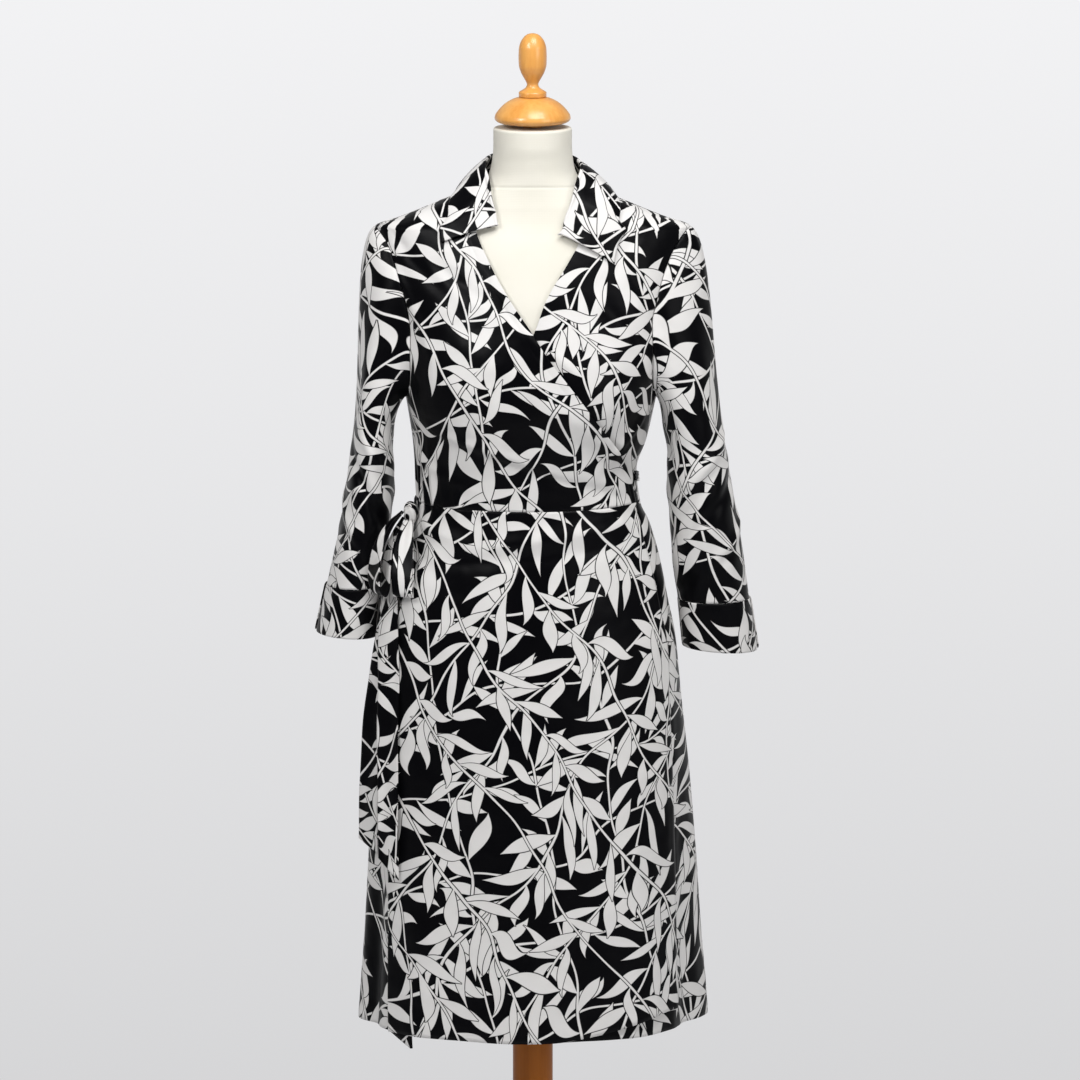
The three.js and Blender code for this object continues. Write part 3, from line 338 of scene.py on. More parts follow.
@dataclass(frozen=True)
class BodySurface:
    """The base surface that every panel of the dress is measured from."""

    sections: Table = Table("z left right front back", (
        (384, 215.5, 215.5, 151, 151), (400, 215, 215, 150, 150), (509, 208, 207, 143, 143),
        (609, 203, 201, 136, 138), (712, 199, 193, 129, 134), (800, 195, 184, 122, 129),
        (875, 188, 177, 116, 123), (925, 178, 167, 111, 115), (975, 163, 157, 105, 104),
        (1020, 148, 144, 100, 92), (1044, 143, 133, 97, 86), (1087, 145, 128, 99, 82),
        (1125, 148, 140, 108, 85), (1179, 156, 152, 117, 91), (1230, 163, 162, 115, 96),
        (1290, 173, 172, 102, 97), (1340, 183, 182, 84, 88), (1375, 190, 190, 68, 72),
        (1388, 193, 193, 61, 63), (1400, 161, 161, 56, 59), (1415, 124, 124, 52, 56),
        (1431, 88, 88, 50, 54), (1442, 70, 70, 50, 54), (1455, 59, 59, 50, 53),
        (1470, 54, 54, 50, 51), (1490, 51, 51, 51, 51), (1515, 51, 51, 51, 51),
    ))
    bust: Table = Table("turn z halfTurn halfHeight lift", (
        (-36, 1196, 24, 55, 10),
        (36, 1196, 24, 55, 10),
    ))
    # The first eight are the folds of the solids, the rest the softer ones between them.
    folds: Table = Table("turnA zA liftA turnB zB liftB half", (
        (-72, 900, 0, -69, 384, -9, 14), (-84, 860, 0, -82, 384, 4, 16),
        (72, 880, 0, 69, 384, -17, 26), (106, 930, 0, 107, 384, 8, 26),
        (138, 880, 0, 140, 384, -7, 24), (172, 840, 0, 176, 384, 7, 28),
        (208, 900, 0, 206, 384, -7, 24), (240, 860, 0, 238, 384, 6, 24),
        (-44, 820, 0, -40, 384, 3.2, 15), (-26, 760, 0, -24, 384, -3, 17),
        (-4, 800, 0, -7, 384, 2.7, 19), (19, 740, 0, 16, 384, -3.2, 18),
        (38, 820, 0, 37, 384, 3.5, 16), (52, 870, 0, 52, 384, -3, 13),
        (90, 840, 0, 91, 384, 3.4, 12), (122, 800, 0, 124, 384, 3.5, 14),
        (156, 860, 0, 158, 384, -3.2, 15), (192, 800, 0, 190, 384, -3.5, 15),
        (224, 850, 0, 222, 384, 3.2, 15), (255, 820, 0, 256, 384, -3.2, 14),
    ))
    creases: Table = Table("turnA zA liftA turnB zB liftB half", (
        (-30, 1256, 1, 44, 1120, 2.6, 12), (-44, 1216, 1, 50, 1096, -2, 12),
        (-58, 1176, 1, 52, 1072, 2.2, 12), (-74, 1128, -2, -22, 1150, 0, 12),
        (-66, 1250, 2.5, -50, 1180, 0, 13), (66, 1250, 2.5, 50, 1180, 0, 13),
        (120, 1110, 2.5, 160, 1090, 0, 14), (238, 1110, 2.5, 200, 1092, 0, 14),
        (-18, 1300, 1.4, 12, 1236, 3.2, 7), (-34, 1338, -2.5, 2, 1262, -1.1, 8),
        (-50, 1150, 2.5, 20, 1090, 2.9, 7), (-30, 1122, -2.2, 48, 1066, -2.7, 8),
        (-64, 1104, 2.3, -34, 1078, 0.7, 6), (30, 1300, 2.9, 58, 1222, 2.2, 8),
        (44, 1330, -2.5, 66, 1262, -2.2, 8), (60, 1150, 2.9, 40, 1104, 1.1, 7),
        (-62, 1330, 2.9, -48, 1250, 1.4, 8), (-58, 1372, -2.2, -36, 1310, -1.1, 9),
        (40, 1376, -2, 30, 1330, -1.4, 9), (-12, 1010, 2.3, 46, 1030, 2.9, 9),
        (-34, 985, -2.2, 30, 1000, -2.2, 10), (-56, 1020, 3.2, -20, 1000, 0.7, 8),
        (-60, 990, -2.9, -36, 952, -0.7, 9), (52, 1020, 2.5, 66, 980, 0.7, 8),
        (146, 1320, 2.9, 176, 1240, 1.4, 14), (214, 1320, 2.9, 186, 1240, 1.4, 14),
        (130, 1180, 2.9, 176, 1120, 2.2, 11), (230, 1180, 2.9, 186, 1122, 2.2, 11),
        (140, 1060, 2.9, 190, 1086, 2.2, 8), (220, 1062, 2.5, 176, 1100, 1.8, 8),
        (118, 1020, 2.5, 150, 990, 0.7, 10), (244, 1020, 2.5, 214, 985, 0.7, 10),
    ))
    mm_per_degree: float = 2.4
    gather_count: int = 6
    gather_first: float = -80
    gather_pitch: float = 8
    gather_lift: float = 2.4
    gather_slant: float = 0.03
    gather_raise: float = 12
    gather_fade: float = 42
    gather_fade_below: float = 14
    gather_share_below: float = 0.75

    def oval(self, turn: np.ndarray, z: np.ndarray) -> np.ndarray:
        """Points of the plain oval sections."""
        s = self.sections.at(z)
        sin, cos = np.sin(np.radians(turn)), np.cos(np.radians(turn))
        wide = np.where(sin < 0, s["left"], s["right"])
        deep = np.where(cos < 0, s["back"], s["front"])
        return np.stack([wide * sin, -deep * cos, z + 0 * sin], -1)

    def normal(self, turn: np.ndarray, z: np.ndarray) -> np.ndarray:
        """Directions straight out of the base surface."""
        along_turn = self.oval(turn + 0.5, z) - self.oval(turn - 0.5, z)
        along_height = self.oval(turn, z + 1) - self.oval(turn, z - 1)
        return unit(np.cross(along_turn, along_height))

    def folds_lift(self, table: Table, turn: np.ndarray, z: np.ndarray) -> np.ndarray:
        """Sum of the lifts of a table of folds.

        Args:
            table: The folds.
            turn: Turns about the axis.
            z: Heights.

        Returns:
            How far the cloth lifts.
        """
        lift = np.zeros(np.broadcast(turn, z).shape)
        for fold in table.each():
            u = turn_between(turn, fold["turnA"]) * self.mm_per_degree
            u_end = float(turn_between(fold["turnB"], fold["turnA"])) * self.mm_per_degree
            lift += fold_lift(u, z, fold, u_end)
        return lift

    def bust_lift(self, turn: np.ndarray, z: np.ndarray) -> np.ndarray:
        """Fullness over the bust."""
        lift = np.zeros(np.broadcast(turn, z).shape)
        for row in self.bust.each():
            beside = bell(turn_between(turn, row["turn"]) / row["halfTurn"])
            lift += row["lift"] * beside * bell((z - row["z"]) / row["halfHeight"])
        return lift

    def gathers(self, turn: np.ndarray, z: np.ndarray) -> np.ndarray:
        """Small gathers that fade out above and below the left of the waist seam.

        Args:
            turn: Turns about the axis.
            z: Heights.

        Returns:
            How far the cloth lifts.
        """
        last = self.gather_first + (self.gather_count - 1) * self.gather_pitch
        above = bell((z - WAIST_Z - self.gather_raise) / self.gather_fade)
        below = bell((WAIST_Z - z) / self.gather_fade_below) * self.gather_share_below
        fade = np.where(z > WAIST_Z, above, below)
        slant = turn + (z - WAIST_Z) * self.gather_slant
        wave = 0.5 + 0.5 * np.cos((slant - self.gather_first) / self.gather_pitch * 2 * math.pi)
        ends = ease((turn - self.gather_first + self.gather_pitch) / self.gather_pitch)
        ends = ends * ease((last + self.gather_pitch - turn) / self.gather_pitch)
        return self.gather_lift * wave * fade * ends

    def point(
        self, turn: np.ndarray, z: np.ndarray, off: np.ndarray, creased: np.ndarray | float = 1.0
    ) -> np.ndarray:
        """Points off the draped surface.

        Args:
            turn: Turns about the axis.
            z: Heights.
            off: Distances off the surface.
            creased: Share of the creases that shows.

        Returns:
            Points in millimetres.
        """
        turn, z = np.broadcast_arrays(np.asarray(turn, float), np.asarray(z, float))
        lift = self.bust_lift(turn, z) + self.folds_lift(self.folds, turn, z)
        lift = lift + creased * (self.folds_lift(self.creases, turn, z) + self.gathers(turn, z))
        return self.oval(turn, z) + self.normal(turn, z) * (off + lift)[..., None]

    def walls(
        self, turn: np.ndarray, z: np.ndarray, off: np.ndarray, wall: float = WALL,
        creased: np.ndarray | float = 1.0,
    ) -> list[np.ndarray]:
        """Face and back grids of a wall of cloth, as for point."""
        return [self.point(turn, z, off - depth, creased) for depth in (0.0, wall)]

    def flat_places(
        self, turn: np.ndarray, z: np.ndarray, centre: float, lattice: Lattice
    ) -> np.ndarray:
        """Places on a panel laid flat: along the sections from its centre line, and up that line.

        Args:
            turn: Turns about the axis.
            z: Heights.
            centre: Turn of the panel's centre line.
            lattice: The lattice that is laid flat.

        Returns:
            Distance across and distance up in millimetres.
        """
        turns = np.arange(-lattice.reach, lattice.reach + lattice.step, lattice.step, float)
        levels = np.arange(lattice.bottom, NECK_Z + lattice.pitch + 1, lattice.pitch, float)
        points = self.oval(centre + turns[None, :], levels[:, None])
        middle = len(turns) // 2
        across = run_along(points, 1)
        across = across - across[:, [middle]]
        up = run_along(points[:, middle], 0)
        flat = np.stack([across, np.broadcast_to(up[:, None], across.shape)], -1)
        if lattice.eased:
            flat = eased(points, flat)
        column = (turn_between(turn, centre) - turns[0]) / lattice.step
        column = np.clip(column, 0, len(turns) - 1.001)
        row = np.clip((z - levels[0]) / lattice.pitch, 0, len(levels) - 1.001)
        i, j = row.astype(int), column.astype(int)
        s, t = (row - i)[..., None], (column - j)[..., None]
        low = flat[i, j] * (1 - t) + flat[i, j + 1] * t
        high = flat[i + 1, j] * (1 - t) + flat[i + 1, j + 1] * t
        return low * (1 - s) + high * s

    def stretch(self, turn: float, z: float) -> float:
        """Millimetres along the section for one degree of turn."""
        either = self.oval(np.array([turn + 0.5, turn - 0.5]), np.array([z, z]))
        return float(np.linalg.norm(either[0] - either[1]))


BODY = BodySurface()


def line_directions(points: np.ndarray, axis: int, ring: bool) -> np.ndarray:
    """Directions along the lines of a grid, each from both neighbours.

    Args:
        points: The grid.
        axis: Axis that the lines run along.
        ring: Whether the lines close on themselves.

    Returns:
        Directions of length 1.
    """
    if ring:
        after = unit(np.roll(points, -1, axis) - points)
        return unit(after + np.roll(after, 1, axis))
    step = unit(np.diff(points, axis=axis))
    nothing = np.zeros_like(np.take(points, [0], axis))
    return unit(np.concatenate([nothing, step], axis) + np.concatenate([step, nothing], axis))


def behind(face: np.ndarray, thickness: float, ring: bool = False) -> np.ndarray:
    """Grid that lies behind the face by a wall's thickness, square to the face."""
    across = line_directions(face, 1, ring)
    along = line_directions(face, 0, False)
    return face - unit(np.cross(across, along)) * thickness


def linked(name: str, data: bpy.types.ID) -> bpy.types.Object:
    """New object of some data, in the scene."""
    made = bpy.data.objects.new(name, data)
    bpy.context.scene.collection.objects.link(made)
    return made


def mesh_object(
    name: str,
    points: np.ndarray,
    faces: list[tuple[int, ...]],
    smooth: np.ndarray | None = None,
    uv: np.ndarray | None = None,
) -> bpy.types.Object:
    """Object with its mesh in metres, turned so that its faces point out.

    Args:
        name: Name of the object.
        points: Points in millimetres.
        faces: Corner numbers of each face.
        smooth: Whether each face is smooth, all of them by default.
        uv: Place of each point on the flat cloth, in metres.

    Returns:
        The object, in the scene.
    """
    first = np.array([f[:3] for f in faces])
    corner = points[first]
    if np.einsum("ij,ij->i", corner[:, 0], np.cross(corner[:, 1], corner[:, 2])).sum() < 0:
        faces = [f[::-1] for f in faces]
    mesh = bpy.data.meshes.new(name)
    mesh.from_pydata((points * METRE).tolist(), [], faces)
    flags = np.ones(len(faces), bool) if smooth is None else smooth
    mesh.polygons.foreach_set("use_smooth", flags)
    if uv is not None:
        corners = np.empty(len(mesh.loops), int)
        mesh.loops.foreach_get("vertex_index", corners)
        layer = mesh.uv_layers.new(name="Cut")
        layer.data.foreach_set("uv", uv[corners].astype(np.float32).ravel())
    mesh.update()
    return linked(name, mesh)


def grid_faces(rows: int, columns: int, ring: bool, first: int = 0) -> np.ndarray:
    """Corner numbers of the squares of a grid.

    Args:
        rows: Rows of points.
        columns: Points in a row.
        ring: Whether the rows close on themselves.
        first: Number of the first point.

    Returns:
        Four corners for each square.
    """
    steps = columns if ring else columns - 1
    i, j = np.meshgrid(np.arange(rows - 1), np.arange(steps), indexing="ij")
    right = (j + 1) % columns
    low, high = i * columns, (i + 1) * columns
    return np.stack([low + j, low + right, high + right, high + j], -1).reshape(-1, 4) + first


def closed_faces(rings: int, columns: int) -> list[tuple[int, ...]]:
    """Faces of a stack of rings, fanned to two end points that come after the rings' points.

    Args:
        rings: Number of rings.
        columns: Points in a ring.

    Returns:
        Corner numbers of each face.
    """
    faces = [tuple(f) for f in grid_faces(rings, columns, True).tolist()]
    count, top = rings * columns, (rings - 1) * columns
    for j in range(columns):
        after = (j + 1) % columns
        faces.append((count, after, j))
        faces.append((count + 1, top + j, top + after))
    return faces


def seat(made: bpy.types.Object, finish: bpy.types.Material, node: str) -> None:
    """Finish a piece and seat it in the frame.

    Args:
        made: The piece.
        finish: Its material.
        node: CAD node that it stands for.
    """
    made.data.materials.append(finish)
    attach(made, "root")
    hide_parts(node)
    LOG.info("%s: %d faces", made.name, len(made.data.polygons))


def lathe(
    name: str, profile: list[tuple[float, float]], z: float, segments: int = 96
) -> bpy.types.Object:
    """Turned piece from its profile of radius and height.

    Args:
        name: Name of the object.
        profile: Radius and height of each ring, between two ends on the axis.
        z: Height of the profile's zero.
        segments: Faces round it.

    Returns:
        The object.
    """
    angle = np.arange(segments) * 2 * math.pi / segments
    radius, height = np.array(profile[1:-1]).T[..., None]
    rings = np.stack([radius * np.cos(angle), radius * np.sin(angle), height + z + 0 * angle], -1)
    ends = [(0, 0, profile[0][1] + z), (0, 0, profile[-1][1] + z)]
    points = np.vstack([rings.reshape(-1, 3), ends])
    made = mesh_object(name, points, closed_faces(len(rings), segments))
    made.modifiers.new("edges", "EDGE_SPLIT").split_angle = math.radians(TURNED_EDGE)
    return made


@dataclass(frozen=True)
class SprigLayer:
    """One layer of leafy stems in the print, in millimetres and degrees."""

    heading: float
    band: float
    pitch: float
    lean: float
    length: float
    half: float
    bow: float
    ess: float
    tilt: float
    sway: float
    wave: float
    shift: tuple[float, float]
    seed: float
    missing: float


@dataclass(frozen=True)
class PrintedJersey(Finish):
    """Silk jersey, weft knitted and screen printed: a fluid cloth with a soft satin light on its folds.

    The print is generic: white willow-like leaves on thin stems over a blue-black ground.
    """

    name: str = "printed_silk_jersey"
    ground: str = "#020204"
    leaf: str = "#cfcdcb"
    # Dark line round each leaf, softness of its edge and half a stem's width, in millimetres.
    line: float = 1.0
    soft: float = 0.5
    stem_half: float = 1.3
    # Power that draws a leaf's ends to a point.
    point: float = 1.4
    # Leaves are 48 to 84 mm long and 11 to 17 mm wide, as in a large dress print.
    layers: tuple[SprigLayer, ...] = (
        SprigLayer(18, 104, 49, 34, 68, 6.9, 4.0, 7.4, 5, 8, 260, (33, 41), 4.1, 0.38),
        SprigLayer(101, 100, 45, 38, 60, 6.8, 4.0, 6.8, 5, 7, 280, (12, 7), 1.3, 0.35),
        SprigLayer(236, 106, 51, 31, 74, 7.1, 3.8, 7.8, 5, 8, 300, (51, 19), 7.7, 0.33),
        SprigLayer(305, 101, 47, 35, 64, 6.8, 4.0, 7.0, 4, 8, 270, (71, 11), 12.6, 0.46),
    )
    warp_mm: float = 20
    warp_size_mm: float = 130
    # A knitted row is about 0.45 mm high, drawn three times as coarse so that it shows.
    rib_mm: float = 1.35
    # Soft crumples of worn jersey about 65 mm across, as 15 to a metre.
    crumples: float = 15.0

    def sprigs(
        self, tree: bpy.types.NodeTree, layer: SprigLayer, known: dict[str, bpy.types.NodeSocket]
    ) -> bpy.types.NodeSocket:
        """Add one layer of stems and leaves over what the print holds so far.

        Args:
            tree: The material's tree.
            layer: The layer.
            known: Outputs by name: the cloth's place x and y in millimetres, and the light so far.

        Returns:
            The new light of the print, 0 on the ground and 1 on a leaf.
        """
        heading, lean = math.radians(layer.heading), math.radians(layer.lean)
        strip = layer.pitch * math.sin(lean)
        others = {
            "key": "ShaderNodeCombineXYZ", "chance": "ShaderNodeTexWhiteNoise",
            "spread": "ShaderNodeSeparateColor",
        }
        inked = 0.5 + self.line / self.soft
        steps = (
            ("run0", "MULTIPLY", ("x", math.cos(heading))),
            ("run1", "MULTIPLY_ADD", ("y", math.sin(heading), "run0")),
            ("aside0", "MULTIPLY", ("x", -math.sin(heading))),
            ("aside1", "MULTIPLY_ADD", ("y", math.cos(heading), "aside0")),
            ("aside2", "ADD", ("aside1", layer.shift[1])),
            ("band0", "DIVIDE", ("aside2", layer.band)),
            ("band", "ROUND", ("band0",)),
            ("aside3", "MULTIPLY_ADD", ("band", -layer.band, "aside2")),
            ("run2", "MULTIPLY_ADD", ("band", 61.7, "run1")),
            ("run", "ADD", ("run2", layer.shift[0])),
            ("phase", "MULTIPLY", ("run", 2 * math.pi / layer.wave)),
            ("sine", "SINE", ("phase",)),
            ("aside", "MULTIPLY_ADD", ("sine", -layer.sway, "aside3")),
            ("side", "GREATER_THAN", ("aside", 0.0)),
            ("away", "ABSOLUTE", ("aside",)),
            ("foot0", "MULTIPLY_ADD", ("away", -1 / math.tan(lean), "run")),
            ("foot1", "MULTIPLY_ADD", ("side", layer.pitch / 2, "foot0")),
            ("foot", "DIVIDE", ("foot1", layer.pitch)),
            ("cell", "FLOOR", ("foot",)),
            ("within", "SUBTRACT", ("foot", "cell")),
            ("across0", "MULTIPLY_ADD", ("within", strip, -strip / 2)),
            ("along0", "DIVIDE", ("away", math.sin(lean))),
            ("along", "MULTIPLY_ADD", ("across0", 1 / math.tan(lean), "along0")),
            ("row", "MULTIPLY_ADD", ("band", 2.0, "side")),
            ("key", "", ("cell", "row", layer.seed)),
            ("chance", "", ("key",)),
            ("spread", "", ("chance Color",)),
            ("length", "MULTIPLY_ADD", ("spread Green", 0.34 * layer.length, 0.8 * layer.length)),
            ("share", "DIVIDE", ("along", "length")),
            ("rest", "SUBTRACT", (1.0, "share")),
            ("lens0", "MULTIPLY", ("share", "rest")),
            ("lens1", "MULTIPLY", ("lens0", 4.0)),
            ("lens", "MAXIMUM", ("lens1", 0.0)),
            ("shape", "POWER", ("lens", self.point)),
            ("width", "MULTIPLY_ADD", ("spread Blue", 0.4 * layer.half, 0.8 * layer.half)),
            ("half", "MULTIPLY", ("shape", "width")),
            ("bow0", "MULTIPLY_ADD", ("spread Green", 2 * layer.bow, -layer.bow)),
            ("halfway", "SUBTRACT", ("share", 0.5)),
            ("curl0", "MULTIPLY_ADD", ("spread Red", -7.0 * layer.ess, 3.5 * layer.ess)),
            ("curl", "MULTIPLY_ADD", ("curl0", "halfway", "bow0")),
            ("across1", "MULTIPLY_ADD", ("curl", "lens", "across0")),
            ("swing", "MULTIPLY_ADD", ("chance Value", 2 * layer.tilt, -layer.tilt)),
            ("across2", "MULTIPLY_ADD", ("swing", "halfway", "across1")),
            ("across", "ABSOLUTE", ("across2",)),
            ("inside", "SUBTRACT", ("half", "across")),
            ("leaf0", "MULTIPLY_ADD CLAMP", ("inside", 1 / self.soft, 0.5)),
            ("rim0", "MULTIPLY_ADD CLAMP", ("inside", 1 / self.soft, inked)),
            ("there", "GREATER_THAN", ("chance Value", layer.missing)),
            ("open", "GREATER_THAN", ("lens", 0.02)),
            ("shown", "MULTIPLY", ("there", "open")),
            ("leaf", "MULTIPLY", ("leaf0", "shown")),
            ("rim", "MULTIPLY", ("rim0", "shown")),
            ("in stem", "SUBTRACT", (self.stem_half, "away")),
            ("stem", "MULTIPLY_ADD CLAMP", ("in stem", 1 / self.soft, 0.5)),
            ("stem rim", "MULTIPLY_ADD CLAMP", ("in stem", 1 / self.soft, inked)),
            ("dark", "MAXIMUM", ("rim", "stem rim")),
            ("white", "MAXIMUM", ("leaf", "stem")),
            ("kept0", "SUBTRACT", (1.0, "dark")),
            ("kept", "MULTIPLY", ("light", "kept0")),
            ("light", "MAXIMUM", ("kept", "white")),
        )
        for name, operation, sources in steps:
            settings = {}
            if operation:
                clamped = operation.endswith("CLAMP")
                settings = {"operation": operation.split()[0], "use_clamp": clamped}
            links = {i: known[s] if isinstance(s, str) else s for i, s in enumerate(sources)}
            made = add_node(tree, others.get(name, "ShaderNodeMath"), settings, links)
            known[name] = made.outputs[0]
            for output in made.outputs:
                known[f"{name} {output.name}"] = output
        return known["light"]

    def surface(self, tree: bpy.types.NodeTree) -> dict[str, object]:
        """The printed cloth: swayed places, layers of sprigs, knit and crumple.

        Args:
            tree: The material's tree.

        Returns:
            The shader's values.
        """
        place = add_node(tree, "ShaderNodeUVMap", {"uv_map": "Cut"}).outputs["UV"]
        swirl = add_node(
            tree, "ShaderNodeTexNoise", {"noise_dimensions": "2D"},
            {"Vector": place, "Scale": 1000 / self.warp_size_mm, "Detail": 1.0, "Roughness": 0.4},
        ).outputs["Color"]
        turned = add_node(
            tree, "ShaderNodeVectorMath", {"operation": "SUBTRACT"}, {0: swirl, 1: (0.5, 0.5, 0.5)}
        ).outputs[0]
        size = self.warp_mm * METRE * 2
        moved = add_node(
            tree, "ShaderNodeVectorMath", {"operation": "MULTIPLY_ADD"},
            {0: turned, 1: (size, size, size), 2: place},
        ).outputs[0]
        scaled = add_node(
            tree, "ShaderNodeVectorMath", {"operation": "SCALE"}, {0: moved, "Scale": 1000.0}
        ).outputs[0]
        split = add_node(tree, "ShaderNodeSeparateXYZ", None, {0: scaled})
        nothing = add_node(
            tree, "ShaderNodeMath", {"operation": "MULTIPLY"}, {0: split.outputs[0], 1: 0.0}
        )
        known = {"x": split.outputs[0], "y": split.outputs[1], "light": nothing.outputs[0]}
        for layer in self.layers:
            known["light"] = self.sprigs(tree, layer, known)
        ink = add_node(
            tree, "ShaderNodeMix", {"data_type": "RGBA"},
            {0: known["light"], 6: to_linear(self.ground), 7: to_linear(self.leaf)},
        ).outputs[2]
        rib = add_node(
            tree, "ShaderNodeTexWave", {"wave_type": "BANDS", "bands_direction": "Y"},
            {"Vector": place, "Scale": wave_scale(self.rib_mm), "Distortion": 0.6, "Detail": 1.0},
        ).outputs["Fac"]
        knit = add_node(
            tree, "ShaderNodeBump", None, {"Strength": 0.09, "Distance": 0.0002, "Height": rib}
        )
        crumple = add_node(
            tree, "ShaderNodeTexNoise", {"noise_dimensions": "2D"},
            {"Vector": place, "Scale": self.crumples, "Detail": 2.0},
        ).outputs["Fac"]
        soft = add_node(
            tree, "ShaderNodeBump", None,
            {"Strength": 0.55, "Distance": 0.008, "Height": crumple, "Normal": knit.outputs[0]},
        )
        return {
            "Base Color": ink, "Roughness": 0.38, "Sheen Weight": 0.03, "Sheen Roughness": 0.4,
            "Specular IOR Level": 0.07, "Normal": soft.outputs[0],
        }


@dataclass(frozen=True)
class CottonCover(Finish):
    """Undyed cotton calico, plain woven and stretched over the form: matt, with a fine even thread."""

    name: str = "cotton_calico"
    colour: str = "#d6d3ca"
    shade: str = "#cdc9bb"
    # Calico has about 24 threads a centimetre, drawn at 10 so that the weave shows.
    thread_mm: float = 1.0
    # Faint patches about 70 mm across, as 14 to a metre.
    patches: float = 14.0

    def surface(self, tree: bpy.types.NodeTree) -> dict[str, object]:
        """The form's cover: two sets of threads and faint patches.

        Args:
            tree: The material's tree.

        Returns:
            The shader's values.
        """
        place = add_node(tree, "ShaderNodeTexCoord").outputs["Object"]
        weave = []
        for direction in ("X", "Z"):
            weave.append(add_node(
                tree, "ShaderNodeTexWave", {"wave_type": "BANDS", "bands_direction": direction},
                {"Vector": place, "Scale": wave_scale(self.thread_mm), "Distortion": 0.4},
            ).outputs["Fac"])
        cloth = add_node(
            tree, "ShaderNodeMath", {"operation": "MULTIPLY"}, {0: weave[0], 1: weave[1]}
        )
        patches = add_node(
            tree, "ShaderNodeTexNoise", None, {"Vector": place, "Scale": self.patches, "Detail": 4.0}
        )
        colour = add_node(
            tree, "ShaderNodeMix", {"data_type": "RGBA"},
            {0: patches.outputs["Fac"], 6: to_linear(self.shade), 7: to_linear(self.colour)},
        )
        bump = add_node(
            tree, "ShaderNodeBump", None,
            {"Strength": 0.15, "Distance": 0.0003, "Height": cloth.outputs[0]},
        )
        return {
            "Base Color": colour.outputs[2], "Roughness": 0.85, "Sheen Weight": 0.1,
            "Specular IOR Level": 0.3, "Normal": bump.outputs[0],
        }


@dataclass(frozen=True)
class VarnishedBeech(Finish):
    """Beech, turned and varnished: warm, with fine short flecks along the grain and a clear gloss."""

    name: str
    light: str
    dark: str
    coat: float = 0.5
    gloss: float = 0.4
    # Flecks about 4 mm apart and growth rings about 22 mm apart, as numbers to a metre across the
    # grain. Along the grain they are about 16 times as long.
    flecks: float = 260.0
    rings: float = 45.0
    drawn_out: float = 0.06

    def surface(self, tree: bpy.types.NodeTree) -> dict[str, object]:
        """The varnished wood: flecks and broad growth stretched along the grain.

        Args:
            tree: The material's tree.

        Returns:
            The shader's values.
        """
        place = add_node(tree, "ShaderNodeTexCoord").outputs["Object"]
        stretched = add_node(
            tree, "ShaderNodeMapping", None, {"Vector": place, "Scale": (1.0, 1.0, self.drawn_out)}
        ).outputs[0]
        grain = add_node(
            tree, "ShaderNodeTexNoise", None,
            {
                "Vector": stretched, "Scale": self.flecks, "Detail": 5.0, "Roughness": 0.6,
                "Distortion": 0.3,
            },
        )
        growth = add_node(
            tree, "ShaderNodeTexNoise", None, {"Vector": stretched, "Scale": self.rings, "Detail": 2.0}
        )
        mixed = add_node(
            tree, "ShaderNodeMath", {"operation": "MULTIPLY_ADD"},
            {0: grain.outputs["Fac"], 1: 0.55, 2: growth.outputs["Fac"]},
        )
        fade = add_node(
            tree, "ShaderNodeMapRange", None,
            {"Value": mixed.outputs[0], "From Min": 0.5, "From Max": 1.05},
        )
        colour = add_node(
            tree, "ShaderNodeMix", {"data_type": "RGBA"},
            {0: fade.outputs[0], 6: to_linear(self.dark), 7: to_linear(self.light)},
        )
        bump = add_node(
            tree, "ShaderNodeBump", None,
            {"Strength": 0.08, "Distance": 0.0003, "Height": grain.outputs["Fac"]},
        )
        return {
            "Base Color": colour.outputs[2], "Roughness": 0.4, "Specular IOR Level": self.gloss,
            "Coat Weight": self.coat, "Coat Roughness": 0.18, "Normal": bump.outputs[0],
        }


@dataclass(frozen=True)
class PaleFloor(Finish):
    """Painted board, rolled matt: a plain pale ground for the studio."""

    name: str = "pale_floor_paint"
    colour: str = "#e9eaec"

    def surface(self, tree: bpy.types.NodeTree) -> dict[str, object]:
        """The floor's paint, faintly uneven.

        Args:
            tree: The material's tree.

        Returns:
            The shader's values.
        """
        place = add_node(tree, "ShaderNodeTexCoord").outputs["Object"]
        mottle = add_node(
            tree, "ShaderNodeTexNoise", None, {"Vector": place, "Scale": 3.0, "Detail": 3.0}
        )
        bump = add_node(
            tree, "ShaderNodeBump", None,
            {"Strength": 0.05, "Distance": 0.002, "Height": mottle.outputs["Fac"]},
        )
        return {"Base Color": to_linear(self.colour), "Roughness": 0.8, "Normal": bump.outputs[0]}


